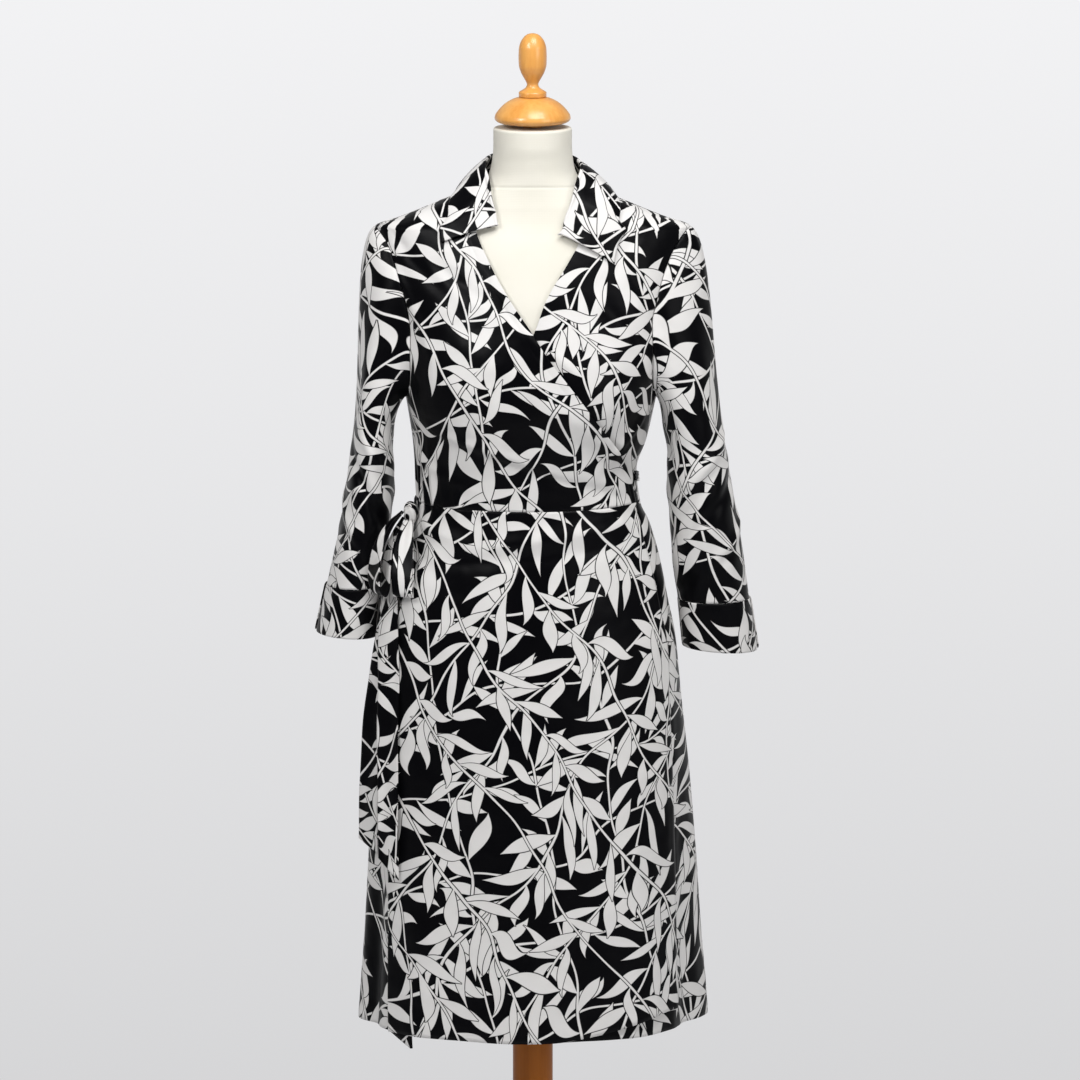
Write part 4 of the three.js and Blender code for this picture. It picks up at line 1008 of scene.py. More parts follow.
@dataclass
class Cloth:
    """One cut piece of cloth: a thin wall between a face grid and a back grid, in millimetres."""

    name: str
    node: str
    face: np.ndarray
    back: np.ndarray
    held: Hold
    rests_on: tuple[str, ...]
    print_shift: tuple[float, float] = (0.0, 0.0)
    print_turn: float = 0.0
    ring: bool = False
    places: np.ndarray | None = None
    flat: tuple[float, float, float] = field(init=False, default=(0.0, 0.0, 0.0))

    def cut(self) -> np.ndarray:
        """Flat size from the lengths along the grid's lines.

        Returns:
            Place of each point on the flat cloth, in metres.
        """
        u, v = run_along(self.face, 1), run_along(self.face, 0)
        u = u - u[:, [u.shape[1] // 2]]
        first = self.face[1:, 1:] - self.face[:-1, :-1]
        second = self.face[1:, :-1] - self.face[:-1, 1:]
        area = np.linalg.norm(np.cross(first, second), axis=-1).sum() / 2
        if self.ring:
            closing = np.linalg.norm(self.face[:, 0] - self.face[:, -1], axis=-1)
            area += (closing[1:] * np.diff(v[:, 0])).sum()
            u_span = float((np.ptp(u, axis=1) + closing).max())
        else:
            u_span = float(np.ptp(u))
        v_span = float(np.ptp(v))
        area = float(min(area, u_span * v_span))
        self.flat = (u_span * METRE, v_span * METRE, area * METRE * METRE)
        if self.places is not None:
            return self.places * METRE
        spine = v[:, [v.shape[1] // 2]]
        return np.stack([u, spine + 0 * v], -1) * METRE

    def build(self, finish: bpy.types.Material) -> None:
        """Make the piece, finish it and seat it in the frame.

        Args:
            finish: The cloth's material.
        """
        rows, columns = self.face.shape[:2]
        uv = self.cut().reshape(-1, 2)
        turn = math.radians(self.print_turn)
        spin = np.array([[math.cos(turn), math.sin(turn)], [-math.sin(turn), math.cos(turn)]])
        uv = uv @ spin + np.array(self.print_shift)
        count = rows * columns
        front = grid_faces(rows, columns, self.ring)
        rear = grid_faces(rows, columns, self.ring, count)[:, ::-1]
        j = np.arange(columns if self.ring else columns - 1)
        right = (j + 1) % columns
        last = (rows - 1) * columns
        rims = [(right, j), (last + j, last + right)]
        if not self.ring:
            i = np.arange(rows - 1) * columns
            up = i + columns
            end = columns - 1
            rims += [(i, up), (up + end, i + end)]
        edges = [np.stack([a, b, b + count, a + count], -1) for a, b in rims]
        faces = np.concatenate([front, rear, *edges])
        smooth = np.ones(len(faces), bool)
        smooth[len(front) + len(rear):] = False
        points = np.concatenate([self.face.reshape(-1, 3), self.back.reshape(-1, 3)])
        corners = [tuple(f) for f in faces.tolist()]
        made = mesh_object(self.name, points, corners, smooth, np.concatenate([uv, uv]))
        seat(made, finish, self.node)


@dataclass
class Bodice:
    """The crossed fronts and the back above the waist seam."""

    armhole_front: float = 30
    armhole_back: float = 28
    roundness: float = 0.6
    under_off: float = -2
    settle: float = 6
    # Where the over front starts to rise off the base surface, and over how many degrees.
    wrap_turn: float = -86
    wrap_rise: float = 30
    mm_per_degree: float = 1.9
    edge: StitchedEdge = StitchedEdge()
    rows_below: int = 44
    rows_beside: int = 66
    rows_above: int = 22
    over_edge: Table = Table("z turn", (
        (384, 59), (424, 60), (497, 61.6), (621, 63), (745, 65.6), (856, 68), (943, 66.7),
        (998, 64.5), (1031, 68), (1052, 71), (1072, 69), (1095, 62), (1116, 50), (1163, 30),
        (1206, 16.4), (1247, 5), (1270, 0), (1305, -8), (1321, -11.2), (1354, -16.6), (1380, -20),
        (1398, -21.5), (1415, -28), (1430, -41), (1442, -63),
    ))
    under_edge: Table = Table("z turn", (
        (384, -34), (900, -38), (1052, -48), (1095, -46), (1116, -40), (1163, -26), (1206, -15),
        (1247, -5), (1270, 0.4), (1305, 4.8), (1322, 7.5), (1344, 11.9), (1370, 16.5), (1385, 18.7),
        (1398, 21.5), (1415, 28), (1430, 41), (1442, 63),
    ))

    def heights(self) -> np.ndarray:
        """Heights of the grid's rows, closer together where the armhole turns."""
        middle, half = (ARMPIT_Z + SHOULDER_TIP_Z) / 2, (SHOULDER_TIP_Z - ARMPIT_Z) / 2
        below = np.linspace(WAIST_Z, ARMPIT_Z, self.rows_below, endpoint=False)
        beside = middle - half * np.cos(np.linspace(0, math.pi, self.rows_beside))
        above = np.linspace(SHOULDER_TIP_Z, NECK_Z, self.rows_above)[1:]
        return np.concatenate([below, beside, above])

    def armhole_open(self, z: np.ndarray) -> np.ndarray:
        """How open the armhole is at a height, 0 at its ends and about 1 between."""
        middle = (ARMPIT_Z + SHOULDER_TIP_Z) / 2
        share = np.clip((np.asarray(z) - middle) / (SHOULDER_TIP_Z - middle), -1, 1)
        return np.sqrt(1 - share * share) ** self.roundness

    def front_side(self, z: np.ndarray) -> np.ndarray:
        """Turn of the front's edge at the side seam, armhole and shoulder, on the right."""
        return 90 - self.armhole_front * self.armhole_open(z) - SEAM_TURN

    def back_side(self, z: np.ndarray) -> np.ndarray:
        """Turn of the back's edge at the side seam, armhole and shoulder, on the right."""
        return 90 + self.armhole_back * self.armhole_open(z) + SEAM_TURN

    def over_off(self, turn: np.ndarray) -> np.ndarray:
        """Distance of the over front off the base surface, from nothing at the left side seam."""
        return WRAP_OFF * ease((turn - self.wrap_turn) / self.wrap_rise)

    def under_shown(self, turn: np.ndarray, z: np.ndarray) -> np.ndarray:
        """How far the under front has come out from beneath the over front, from 0 to 1."""
        return ease((turn - self.over_edge.at(z)["turn"]) / self.settle)

    def panel(
        self, z: np.ndarray, low: np.ndarray, high: np.ndarray, columns: int, name: str, node: str,
        held: Hold, rests_on: str, shift: tuple[float, float], layer: Layer,
        lattice: Lattice = BODICE_LATTICE,
    ) -> Cloth:
        """One panel between two turns in each row.

        Args:
            z: Heights of the rows.
            low: First turn of each row.
            high: Last turn of each row.
            columns: Squares in a row.
            name: Name of the piece.
            node: CAD node that it stands for.
            held: How it is held.
            rests_on: What it lies on.
            shift: Where the print starts.
            layer: Which layer of the wrap it is.
            lattice: Lattice on which it is laid flat.

        Returns:
            The piece of cloth.
        """
        share = np.linspace(0, 1, columns + 1)[None, :]
        turn = low[:, None] + (high - low)[:, None] * share
        level = np.broadcast_to(z[:, None], turn.shape)
        off, creased = np.zeros(turn.shape), np.ones(turn.shape)
        if layer is Layer.OVER:
            inside = (self.over_edge.at(level)["turn"] - turn) * self.mm_per_degree
            off = self.over_off(turn) + self.edge.relief(inside)
        if layer is Layer.UNDER:
            shown = self.under_shown(turn, level)
            off, creased = self.under_off * (1 - shown), shown
        face, back = BODY.walls(turn, level, off, WALL, creased)
        places = BODY.flat_places(turn, level, 180 if layer is Layer.BACK else 0, lattice)
        return Cloth(name, node, face, back, held, (rests_on,), shift, places=places)

    def pieces(self) -> list[Cloth]:
        """The three panels."""
        z = self.heights()
        front, back = self.front_side(z), self.back_side(z)
        over, under = (edge.at(z)["turn"] for edge in (self.over_edge, self.under_edge))
        made = []
        for low, high, columns, name, node, shift, layer in (
            (-front, over, 150, "over_front_bodice", "bodice_front_over", (0.31, 0.22), Layer.OVER),
            (under, front, 120, "under_front_bodice", "bodice_front_under", (1.74, 0.53), Layer.UNDER),
            (back, 360 - back, 130, "back_bodice", "bodice_back", (3.12, 0.91), Layer.BACK),
        ):
            made.append(self.panel(
                z, low, high, columns, name, node, Hold.DRAPED, "form_cover_cloth", shift, layer
            ))
        return made


@dataclass
class Skirt:
    """The over front with its deep lap, the under front and the back below the waist seam."""

    bodice: Bodice
    rows: int = 150
    lap: Table = Table("z turn theta lap", (
        (384, -54, 180, 33), (400, -54.5, 180, 33), (550, -58, 180, 22), (700, -60.5, 180, 12),
        (850, -63, 180, 5), (900, -63, 150, 3), (950, -62.5, 70, 2), (1010, -62.5, 0, 1.5),
        (1050, -62.5, 0, 1.5),
    ))
    inner_radius: float = 0.7
    outer_radius: float = 1.9
    point_drop: float = 16
    point_reach: float = 34
    lap_settle: float = 20
    # Columns before the lap and after it, and bends round its inner and its outer fold.
    columns_before: int = 22
    columns_after: int = 120
    inner_bends: int = 8
    outer_bends: int = 12
    # Length of cloth that the bends still take up where the lap lies open.
    opened: float = 15.4
    # How far the hem rises at the right, from which turn and over how many degrees.
    hem_rise: float = 26
    hem_turn: float = 4
    hem_turns: float = 52
    # Height of the hem's stitch line, swell below it and depth of its groove.
    hem_stitched: float = 22
    hem_swell: float = 0.3
    hem_groove: float = 0.45
    top: float = 1049.7
    # Height from which the rows lie closer together.
    gathered_z: float = 860
    rows_low: int = 90
    rows_high: int = 60
    mm_per_degree: float = 2.2

    def lap_line(self, theta: float, lap: float) -> np.ndarray:
        """Line of the lap across the cloth.

        Args:
            theta: How far the cloth turns over, in degrees.
            lap: How far it laps.

        Returns:
            Rows of distance along, distance off and heading.
        """
        inner = [(k + 1) / self.inner_bends for k in range(self.inner_bends)]
        outer = [1 - (k + 1) / self.outer_bends for k in range(self.outer_bends)]
        bends = [0.0, *inner, 1.0, 1.0, *outer]
        opened = self.opened * (1 - theta / 180) / (len(bends) - 1)
        line = [(0.0, 0.0, 0.0)]
        for i in range(1, len(bends)):
            along, off, _ = line[-1]
            turned = math.radians(abs(bends[i] - bends[i - 1]) * theta)
            radius = self.inner_radius if i <= len(inner) else self.outer_radius
            length = opened + radius * turned + (lap / 2 if turned == 0 and i > len(inner) else 0)
            heading = math.radians((bends[i] + bends[i - 1]) / 2 * theta)
            line.append((
                along + length * math.cos(heading), off + length * math.sin(heading),
                math.radians(bends[i] * theta),
            ))
        return np.array(line)

    def over_hem(self, turn: np.ndarray, from_lap: np.ndarray) -> np.ndarray:
        """Height of the over skirt's hem: up at the right, down to a point inside the lap."""
        rise = self.hem_rise * ease((turn - self.hem_turn) / self.hem_turns)
        drop = self.point_drop * np.maximum(0, 1 - np.abs(from_lap) / self.point_reach)
        return HEM_Z + rise - drop

    def over_row(self, level: float) -> np.ndarray:
        """One row of the over skirt.

        Args:
            level: Height of the row before the hem's rise.

        Returns:
            Rows of turn, height, distance off, heading and millimetres for a degree.
        """
        share = (self.top - level) / (self.top - HEM_Z)
        lap = {name: float(value) for name, value in self.lap.at(np.array(level)).items()}
        scale = BODY.stretch(lap["turn"], level)
        line = self.lap_line(lap["theta"], lap["lap"])
        start = lap["turn"] + lap["lap"] / scale
        folded = lap["theta"] / 180
        edge = float(self.bodice.over_edge.at(np.array(level))["turn"])
        seam = -90 + SEAM_TURN
        first = np.linspace(seam, start, self.columns_before, endpoint=False)
        foot = float(self.bodice.over_off(np.array(start))) * (1 - folded)
        rest = np.linspace(start + line[-1, 0] / scale, edge, self.columns_after + 1)[1:]
        settled = ease((rest - rest[0]) / self.lap_settle)
        off = (foot + line[-1, 1]) * (1 - settled) + WRAP_OFF * settled
        off = off + self.bodice.edge.relief((edge - rest) * self.mm_per_degree)
        turn = np.concatenate([first, start + line[:, 0] / scale, rest])
        offs = np.concatenate([self.bodice.over_off(first) * (1 - folded), foot + line[:, 1], off])
        heading = np.concatenate([0 * first, line[:, 2], 0 * rest])
        from_lap = np.concatenate([(start - first) * scale, line[:, 0], 0 * rest + self.point_reach])
        z = self.top + (self.over_hem(turn, from_lap) - self.top) * share
        return np.stack([turn, z, offs, heading, 0 * turn + scale], -1)

    def hem_stitch(self, z: np.ndarray, hem: np.ndarray) -> np.ndarray:
        """Turned hem: slightly thicker, with a stitch line above the edge."""
        above = z - hem - self.hem_stitched
        return self.hem_swell * ease((2 - above) / 3) - self.hem_groove * bell(above / 1.2)

    def over(self) -> Cloth:
        """The over front with its lap."""
        levels = np.concatenate([
            np.linspace(HEM_Z, self.gathered_z, self.rows_low),
            np.linspace(self.gathered_z, self.top, self.rows_high)[1:],
        ])
        rows = np.array([self.over_row(level) for level in levels])
        turn, z, off, heading, scale = (rows[..., k] for k in range(5))
        hem = z[:1] * np.ones_like(z)
        off = off + self.hem_stitch(z, hem) * (np.cos(heading) > 0.99)
        walls = []
        for depth in (0.0, WALL):
            at = turn + depth * np.sin(heading) / scale
            walls.append(BODY.point(at, z, off - depth * np.cos(heading)))
        places = BODY.flat_places(turn, z, 0, SKIRT_LATTICE)
        after = turn.shape[1] - self.columns_after
        steps = np.linalg.norm(np.diff(walls[0][:, :after + 1], axis=1), axis=-1)
        places[:, :after, 0] = places[:, [after], 0] - np.cumsum(steps[:, ::-1], 1)[:, ::-1]
        return Cloth(
            "over_front_skirt", "skirt_front_over", walls[0], walls[1], Hold.HUNG,
            ("over_front_bodice",), (0.31, 4.4), places=places,
        )

    def pieces(self) -> list[Cloth]:
        """The three panels."""
        z = np.linspace(HEM_Z, self.top, self.rows)
        straight = np.ones_like(z)
        under = self.bodice.panel(
            z, self.bodice.under_edge.at(z)["turn"], (90 - SEAM_TURN) * straight, 110,
            "under_front_skirt", "skirt_front_under", Hold.HUNG, "under_front_bodice",
            (5.21, 1.3), Layer.UNDER, SKIRT_LATTICE,
        )
        back = self.bodice.panel(
            z, (90 + SEAM_TURN) * straight, (270 - SEAM_TURN) * straight, 150,
            "back_skirt", "skirt_back", Hold.HUNG, "back_bodice",
            (6.62, 2.9), Layer.BACK, SKIRT_LATTICE,
        )
        return [self.over(), under, back]


@dataclass
class Sleeve:
    """A long sleeve from the armhole to its lapped cuff."""

    side: Side
    rows: Table
    cuff_top: float
    cuff_tilt: float
    bodice: Bodice
    creases: Table
    shift: tuple[float, float]
    cap_rings: int = 40
    arm_rings: int = 70
    quarter: int = 33
    mm_per_degree: float = 0.75
    # The way the cloth leaves the armhole: out, round and down, with more down at the top.
    leave_out: float = 0.93
    leave_round: float = 0.3
    leave_down: float = 0.12
    leave_down_top: float = 0.34
    # How strongly it is held to that way, and how much more at the top.
    pull: float = 54.4
    pull_top: float = 35.2
    # Ripples round the cap: height, number in a full turn and half of the turns that show them.
    ripple: float = 0.5
    ripples: int = 26
    ripple_half: float = 55
    cuff_rows: int = 28
    cuff_columns: int = 150
    cuff_lap: float = 16
    cuff_off: float = 2.3
    # Turn at which the cuff starts to rise over its other end, and over how many degrees.
    cuff_rise: float = 320
    cuff_rise_over: float = 34
    cuff_corner: float = 7
    cuff_gap: float = 0.8
    cuff_clear: float = 0.3
    cuff_swell: float = 0.5
    cuff_stitch: float = 5
    cuff_groove: float = 0.4

    def oval(self, around: np.ndarray, z: np.ndarray, grow: np.ndarray | float = 0.0) -> np.ndarray:
        """Points round the sleeve's section: 0 is the outside, 90 the front, 180 the inside."""
        s = self.rows.at(z)
        centre, half = (s["inner"] + s["outer"]) / 2, (s["outer"] - s["inner"]) / 2 + grow
        x = self.side.value * (centre + half * np.cos(np.radians(around)))
        y = s["middle"] - (s["half"] + grow) * np.sin(np.radians(around))
        return np.stack([x, y, z + 0 * x], -1)

    def lift(self, around: np.ndarray, z: np.ndarray) -> np.ndarray:
        """How far the sleeve's creases lift its face.

        Args:
            around: Turns round the sleeve.
            z: Heights.

        Returns:
            The lift.
        """
        lift = np.zeros(np.broadcast(around, z).shape)
        for row in self.creases.each():
            u = turn_between(around, row["aroundA"]) * self.mm_per_degree
            u_end = float(turn_between(row["aroundB"], row["aroundA"])) * self.mm_per_degree
            lift += fold_lift(u, z, {**row, "liftA": row["lift"], "liftB": row["lift"]}, u_end)
        return lift

    def armhole(self) -> tuple[np.ndarray, np.ndarray]:
        """Turns and heights of the armhole, from the shoulder tip down the front and up the back."""
        middle, half = (ARMPIT_Z + SHOULDER_TIP_Z) / 2, (SHOULDER_TIP_Z - ARMPIT_Z) / 2
        angle = np.linspace(0, math.pi, 2 * self.quarter + 1)
        down = middle + half * np.cos(angle)
        opened = self.bodice.armhole_open(down)
        turn_down = 90 - self.bodice.armhole_front * opened
        turn_up = (90 + self.bodice.armhole_back * opened)[::-1][1:-1]
        turn = np.concatenate([turn_down, turn_up])
        return self.side.value * turn, np.concatenate([down, down[::-1][1:-1]])

    def tube(self) -> np.ndarray:
        """Face grid from the armhole over the cap and down to the cuff seam."""
        turn, z = self.armhole()
        count = len(turn)
        around = 360 * np.arange(count) / count
        top = float(self.rows.rows[0][0])
        middle = (ARMPIT_Z + SHOULDER_TIP_Z) / 2
        level = (z - middle) / (SHOULDER_TIP_Z - middle)
        leave = np.stack([
            np.full(count, self.side.value * self.leave_out),
            -self.leave_round * np.sin(np.radians(around)),
            -self.leave_down - self.leave_down_top * np.maximum(level, 0),
        ], -1)
        over = (turn < 0) & (turn > -90)
        seam_off = np.where(over, self.bodice.over_off(turn), 0)
        start = BODY.point(turn, z, seam_off) + leave * (SEAM_GAP + 0.1)
        end = self.ring(around, top)
        lower = self.oval(around, np.full(count, top - 6))
        arrive = unit(lower - self.oval(around, np.full(count, top)))
        drop = np.linalg.norm(end - start, axis=-1, keepdims=True)
        leave = leave * (self.pull + self.pull_top * level)[:, None]
        grid = []
        for i in range(self.cap_rings):
            s = i / self.cap_rings
            grid.append(
                start * (2 * s ** 3 - 3 * s ** 2 + 1) + leave * (s ** 3 - 2 * s ** 2 + s)
                + end * (3 * s ** 2 - 2 * s ** 3) + arrive * drop * (s ** 3 - s ** 2)
                + self.cap_ease(around, s) * unit(np.cross(arrive, np.roll(end, -1, 0) - end))
            )
        for at in np.linspace(top, self.cuff_top, self.arm_rings + 1):
            grid.append(self.ring(around, at))
        return np.array(grid)

    def ring(self, around: np.ndarray, z: float) -> np.ndarray:
        """Creased points round the sleeve at a height."""
        level = np.full(around.shape, z)
        return self.oval(around, level, self.lift(around, level))

    def cap_ease(self, around: np.ndarray, s: float) -> np.ndarray:
        """Slight fullness eased into the top of the cap, as ripples that fade below the seam."""
        top = bell(turn_between(around, 0) / self.ripple_half)
        ripple = self.ripple * top * np.sin(np.radians(around) * self.ripples)
        return (ripple * math.exp(-(s * 9 - 1) ** 2) * self.side.value)[:, None]

    def cuff(self) -> Cloth:
        """Cuff that laps over itself at the outside of the sleeve, with a rounded corner."""
        bottom = float(self.rows.rows[-1][0])
        level = np.linspace(0, 1, self.cuff_rows + 1)[:, None]
        whole = 360 + self.cuff_lap
        turned = whole * np.linspace(0, 1, self.cuff_columns + 1)[None, :]
        around = turned - self.cuff_lap
        from_end = (whole - turned) * self.mm_per_degree
        corner = self.cuff_corner * np.clip(1 - from_end / self.cuff_corner, 0, 1) ** 2
        low = bottom + corner + self.cuff_tilt * np.cos(np.radians(around)) / 2
        top = self.cuff_top - self.cuff_gap
        z = top + (low - top) * level
        around = around + 0 * z
        off = self.cuff_off * ease((turned - self.cuff_rise) / self.cuff_rise_over)
        edge = np.minimum(np.minimum(top - z, z - low), from_end + 0 * z)
        stitch = -self.cuff_groove * bell((edge - self.cuff_stitch) / 0.9)
        swell = self.cuff_swell * ease(edge / 3)
        creased = self.lift(around, np.full(around.shape, self.cuff_top)) * (1 - level)
        grow = self.cuff_clear + off + stitch + swell + creased
        name = self.side.name.lower()
        face, back = (self.oval(around, z, grow - depth) for depth in (0.0, WALL))
        return Cloth(
            f"{name}_cuff_cloth", f"cuff_{name}", face, back,
            Hold.HUNG, (f"{name}_sleeve_cloth",), (self.shift[0] + 1.1, self.shift[1] + 0.4),
        )

    def pieces(self) -> list[Cloth]:
        """The sleeve and its cuff."""
        name = self.side.name.lower()
        face = self.tube()
        half_round = face.shape[1] // 2
        face = np.roll(face, half_round, axis=1)
        back = behind(face, WALL, True)
        middle = face[-1].mean(0)
        outer, inner = (np.linalg.norm(wall[-1] - middle, axis=-1).mean() for wall in (face, back))
        if inner > outer:
            back = behind(face, -WALL, True)
        u, v = run_along(face, 1), run_along(face, 0)
        u = u - u[:, [half_round]]
        u[:self.cap_rings] = u[self.cap_rings]
        sleeve = Cloth(
            f"{name}_sleeve_cloth", f"sleeve_{name}", face, back, Hold.HUNG,
            ("over_front_bodice", "back_bodice"), self.shift, ring=True,
            places=np.stack([u, v - v[-1]], -1),
        )
        return [sleeve, self.cuff()]


@dataclass
class Collar:
    """The shirt collar in one piece: stand, roll and leaf from one front end to the other."""

    stations: Table = Table("footTurn footZ rollTurn rollZ rollOff edgeTurn edgeZ edgeOff", (
        (-17.6, 1393, -13.5, 1395, 6, -35.7, 1374, 5.6),
        (-24.0, 1412, -20.5, 1413, 7, -35.5, 1388, 5.6),
        (-36.5, 1429, -32, 1429, 7.5, -41, 1402, 5.6), (-61, 1443.4, -60, 1453, 4, -64, 1421, 5.4),
        (-90, 1443, -88, 1467, 3.5, -90, 1429, 4.5), (-130, 1443, -130, 1474, 3, -128, 1425, 5),
        (-180, 1443, -180, 1476, 3, -180, 1418, 6), (-230, 1443, -230, 1472, 3, -232, 1424, 5),
        (-270, 1443, -272, 1463, 3.5, -270, 1426, 4.5),
        (-299, 1443.4, -300, 1451, 4, -306, 1412, 4), (-323.5, 1429, -330, 1428, 7, -323, 1393, 3),
        (-336.0, 1410, -344, 1407, 6, -327, 1369, 3), (-343, 1388, -351, 1384, 5, -327.5, 1350, 3),
    ))
    roll_radius: float = 2.4
    belly: float = 0.1
    edge_swell: float = 0.35
    edge_groove: float = 0.45
    edge_stitched: float = 5
    columns: int = 200

    def line(self, at: dict[str, float]) -> np.ndarray:
        """Line across the collar: up the stand, over the roll and down the leaf.

        Args:
            at: The station's values by column name.

        Returns:
            Points in millimetres.
        """
        turns = np.array([at["footTurn"], at["rollTurn"], at["edgeTurn"]])
        levels = np.array([at["footZ"], at["rollZ"], at["edgeZ"]])
        foot, roll, edge = BODY.point(turns, levels, np.array([-WALL, at["rollOff"], at["edgeOff"]]))
        up = unit(roll - foot)
        out = BODY.normal(np.array([at["rollTurn"]]), np.array([at["rollZ"]]))[0]
        out = unit(out - up * out.dot(up))
        centre = roll - up * self.roll_radius
        angle = np.linspace(0, math.pi, 13)[:, None]
        arc = centre + self.roll_radius * (np.sin(angle) * up - np.cos(angle) * out)
        share = np.linspace(0, 1, 9)[:-1, None]
        stand = foot + (arc[0] - foot) * share
        length = np.linalg.norm(arc[-1] - edge)
        middle = (arc[-1] + edge) / 2 + out * self.belly * length
        s = np.linspace(0, 1, 27)[1:, None]
        leaf = arc[-1] * (1 - s) ** 2 + 2 * middle * s * (1 - s) + edge * s ** 2
        from_edge = (1 - s) * length
        groove = self.edge_groove * bell(from_edge - self.edge_stitched)
        leaf = leaf + out * (self.edge_swell * ease(from_edge / 4) - groove)
        return np.concatenate([stand, arc, leaf])

    def pieces(self) -> list[Cloth]:
        """The collar."""
        values = self.stations.evenly(self.columns + 1)
        face = np.array([
            self.line({name: float(value[i]) for name, value in values.items()})
            for i in range(self.columns + 1)
        ])
        return [Cloth(
            "collar_cloth", "collar", face, behind(face, -WALL), Hold.FOLDED,
            ("over_front_bodice", "back_bodice"), (8.2, 0.4), 90.0,
        )]


@dataclass
class Tie:
    """The tie: a band round the back of the waist, and a bow with two loops and two tails."""

    path: Table = Table("turn z off half", (
        (73.5, 1083, 3.6, 6.5), (90, 1077, 3, 6), (120, 1071, 3, 9), (180, 1060, 3, 11),
        (240, 1049, 3, 9), (262, 1044, 3.2, 7), (274, 1041, 3.4, 6),
    ))
    knot_place: tuple[float, float, float] = (-77, 1037, 10.7)
    knot_size: tuple[float, float, float] = (8.8, 11.0, 14.4)
    knot_print: float = 1.6
    knot_drop: float = 3.0
    wall: float = 1.4
    # Columns across the band and the tails, and steps along each piece.
    columns: int = 17
    band_steps: int = 260
    loop_columns: int = 19
    loop_steps: int = 140
    loop_rounds: int = 6
    tail_steps: int = 190
    # Heights of the band's crumples, of the loops' pleats at the knot and of their hollow.
    crumple: float = 0.32
    pleat: float = 0.5
    hollow: float = 0.4
    front_loop: Table = Table("x y z acrossX acrossY half", (
        (-2, -9, -12, 1, -0.1, 6), (-6, -26, -27, 1, -0.15, 10), (-9, -44, -52, 0.97, -0.2, 12.5),
        (-10, -54, -74, 0.93, -0.3, 13), (-9, -58, -91, 0.9, -0.35, 13),
        (-8, -54, -97, 0.9, -0.35, 13), (-8, -48, -90, 0.9, -0.35, 12.5),
        (-7, -42, -70, 0.93, -0.3, 12), (-5, -25, -44, 0.97, -0.2, 9), (-1, -6, -16, 1, -0.1, 5),
    ))
    side_loop: Table = Table("x y z acrossX acrossY half", (
        (-9.6, -1, -2, 0.3, -0.95, 5), (-22, -19, -12, 0.4, -0.92, 9),
        (-34, -38, -30, 0.48, -0.88, 12), (-42, -44, -54, 0.5, -0.87, 13),
        (-44, -42, -76, 0.5, -0.87, 14), (-41, -42, -92, 0.5, -0.87, 13),
        (-36, -41, -97, 0.5, -0.87, 13), (-32, -40, -87, 0.5, -0.87, 12),
        (-30, -37, -66, 0.5, -0.87, 10), (-27, -28, -44, 0.48, -0.88, 8),
        (-20, -14, -25, 0.4, -0.92, 6), (-9.2, -2, -8, 0.3, -0.95, 4),
    ))
    front_tail: Table = Table("z x y across half", (
        (1021.4, -152.4, -27.4, -15, 5), (1000, -158, -36, -35, 6), (965, -166, -48, -55, 9),
        (935, -173, -54, -48, 10), (900, -177, -60, -36, 14), (840, -177, -64, -32, 15),
        (760, -178, -72, -32, 15), (680, -178, -80, -32, 15), (600, -178, -86, -32, 15),
    ))
    side_tail: Table = Table("z x y across half", (
        (1023, -160, -22, -50, 4), (985, -171, -28, -55, 6), (945, -179, -36, -55, 8),
        (890, -185, -43, -48, 10), (840, -190, -46, -42, 13.5), (760, -198, -46, -38, 15),
        (690, -202, -46, -38, 15), (621, -204, -46, -38, 15),
    ))

    def knot_centre(self) -> np.ndarray:
        """Centre of the knot, off the left of the waist."""
        turn, z, off = self.knot_place
        return BODY.point(np.array([turn]), np.array([z]), np.array([off]))[0]

    def band(self) -> Cloth:
        """Band round the back of the waist, crumpled along its length."""
        turn = np.linspace(self.path.rows[0][0], self.path.rows[-1][0], self.band_steps)
        row = {name: value[:, None] for name, value in self.path.at(turn).items()}
        k = np.linspace(-1, 1, self.columns)[None, :]
        ripple = self.crumple * np.sin(k * 9 + turn[:, None] * 0.06) * ease((1 - np.abs(k)) / 0.3)
        z = row["z"] + k * row["half"]
        face, back = BODY.walls(row["turn"] + 0 * z, z, row["off"] + ripple, self.wall)
        return Cloth(
            "waist_tie_band", "tie_band", face, back, Hold.FOLDED,
            ("back_skirt", "over_front_skirt"), (9.4, 0.2), 90.0,
        )

    def loop(self, name: str, node: str, table: Table, shift: tuple[float, float]) -> Cloth:
        """One bow loop through its places from the knot.

        Args:
            name: Name of the piece.
            node: CAD node that it stands for.
            table: Its places, with the way across and half the width.
            shift: Where the print starts.

        Returns:
            The piece of cloth.
        """
        row = table.evenly(self.loop_steps)
        middle = np.stack([row["x"], row["y"], row["z"]], -1) + self.knot_centre()
        for _ in range(self.loop_rounds):
            middle[1:-1] = (middle[:-2] + 2 * middle[1:-1] + middle[2:]) / 4
        across = unit(np.stack([row["acrossX"], row["acrossY"], 0 * row["x"]], -1))
        k = np.linspace(-1, 1, self.loop_columns)[None, :, None]
        grid = middle[:, None] + across[:, None] * k * row["half"][:, None, None]
        out = unit(np.cross(line_directions(grid, 1, False), line_directions(grid, 0, False)))
        pinch = bell(np.linspace(0, 1, self.loop_steps) * 5)
        pinch = (pinch + pinch[::-1])[:, None, None]
        grid = grid + out * (self.pleat * np.cos(k * 7) * pinch - self.hollow * k * k)
        return Cloth(name, node, grid, behind(grid, self.wall), Hold.FOLDED, ("bow_knot",), shift)

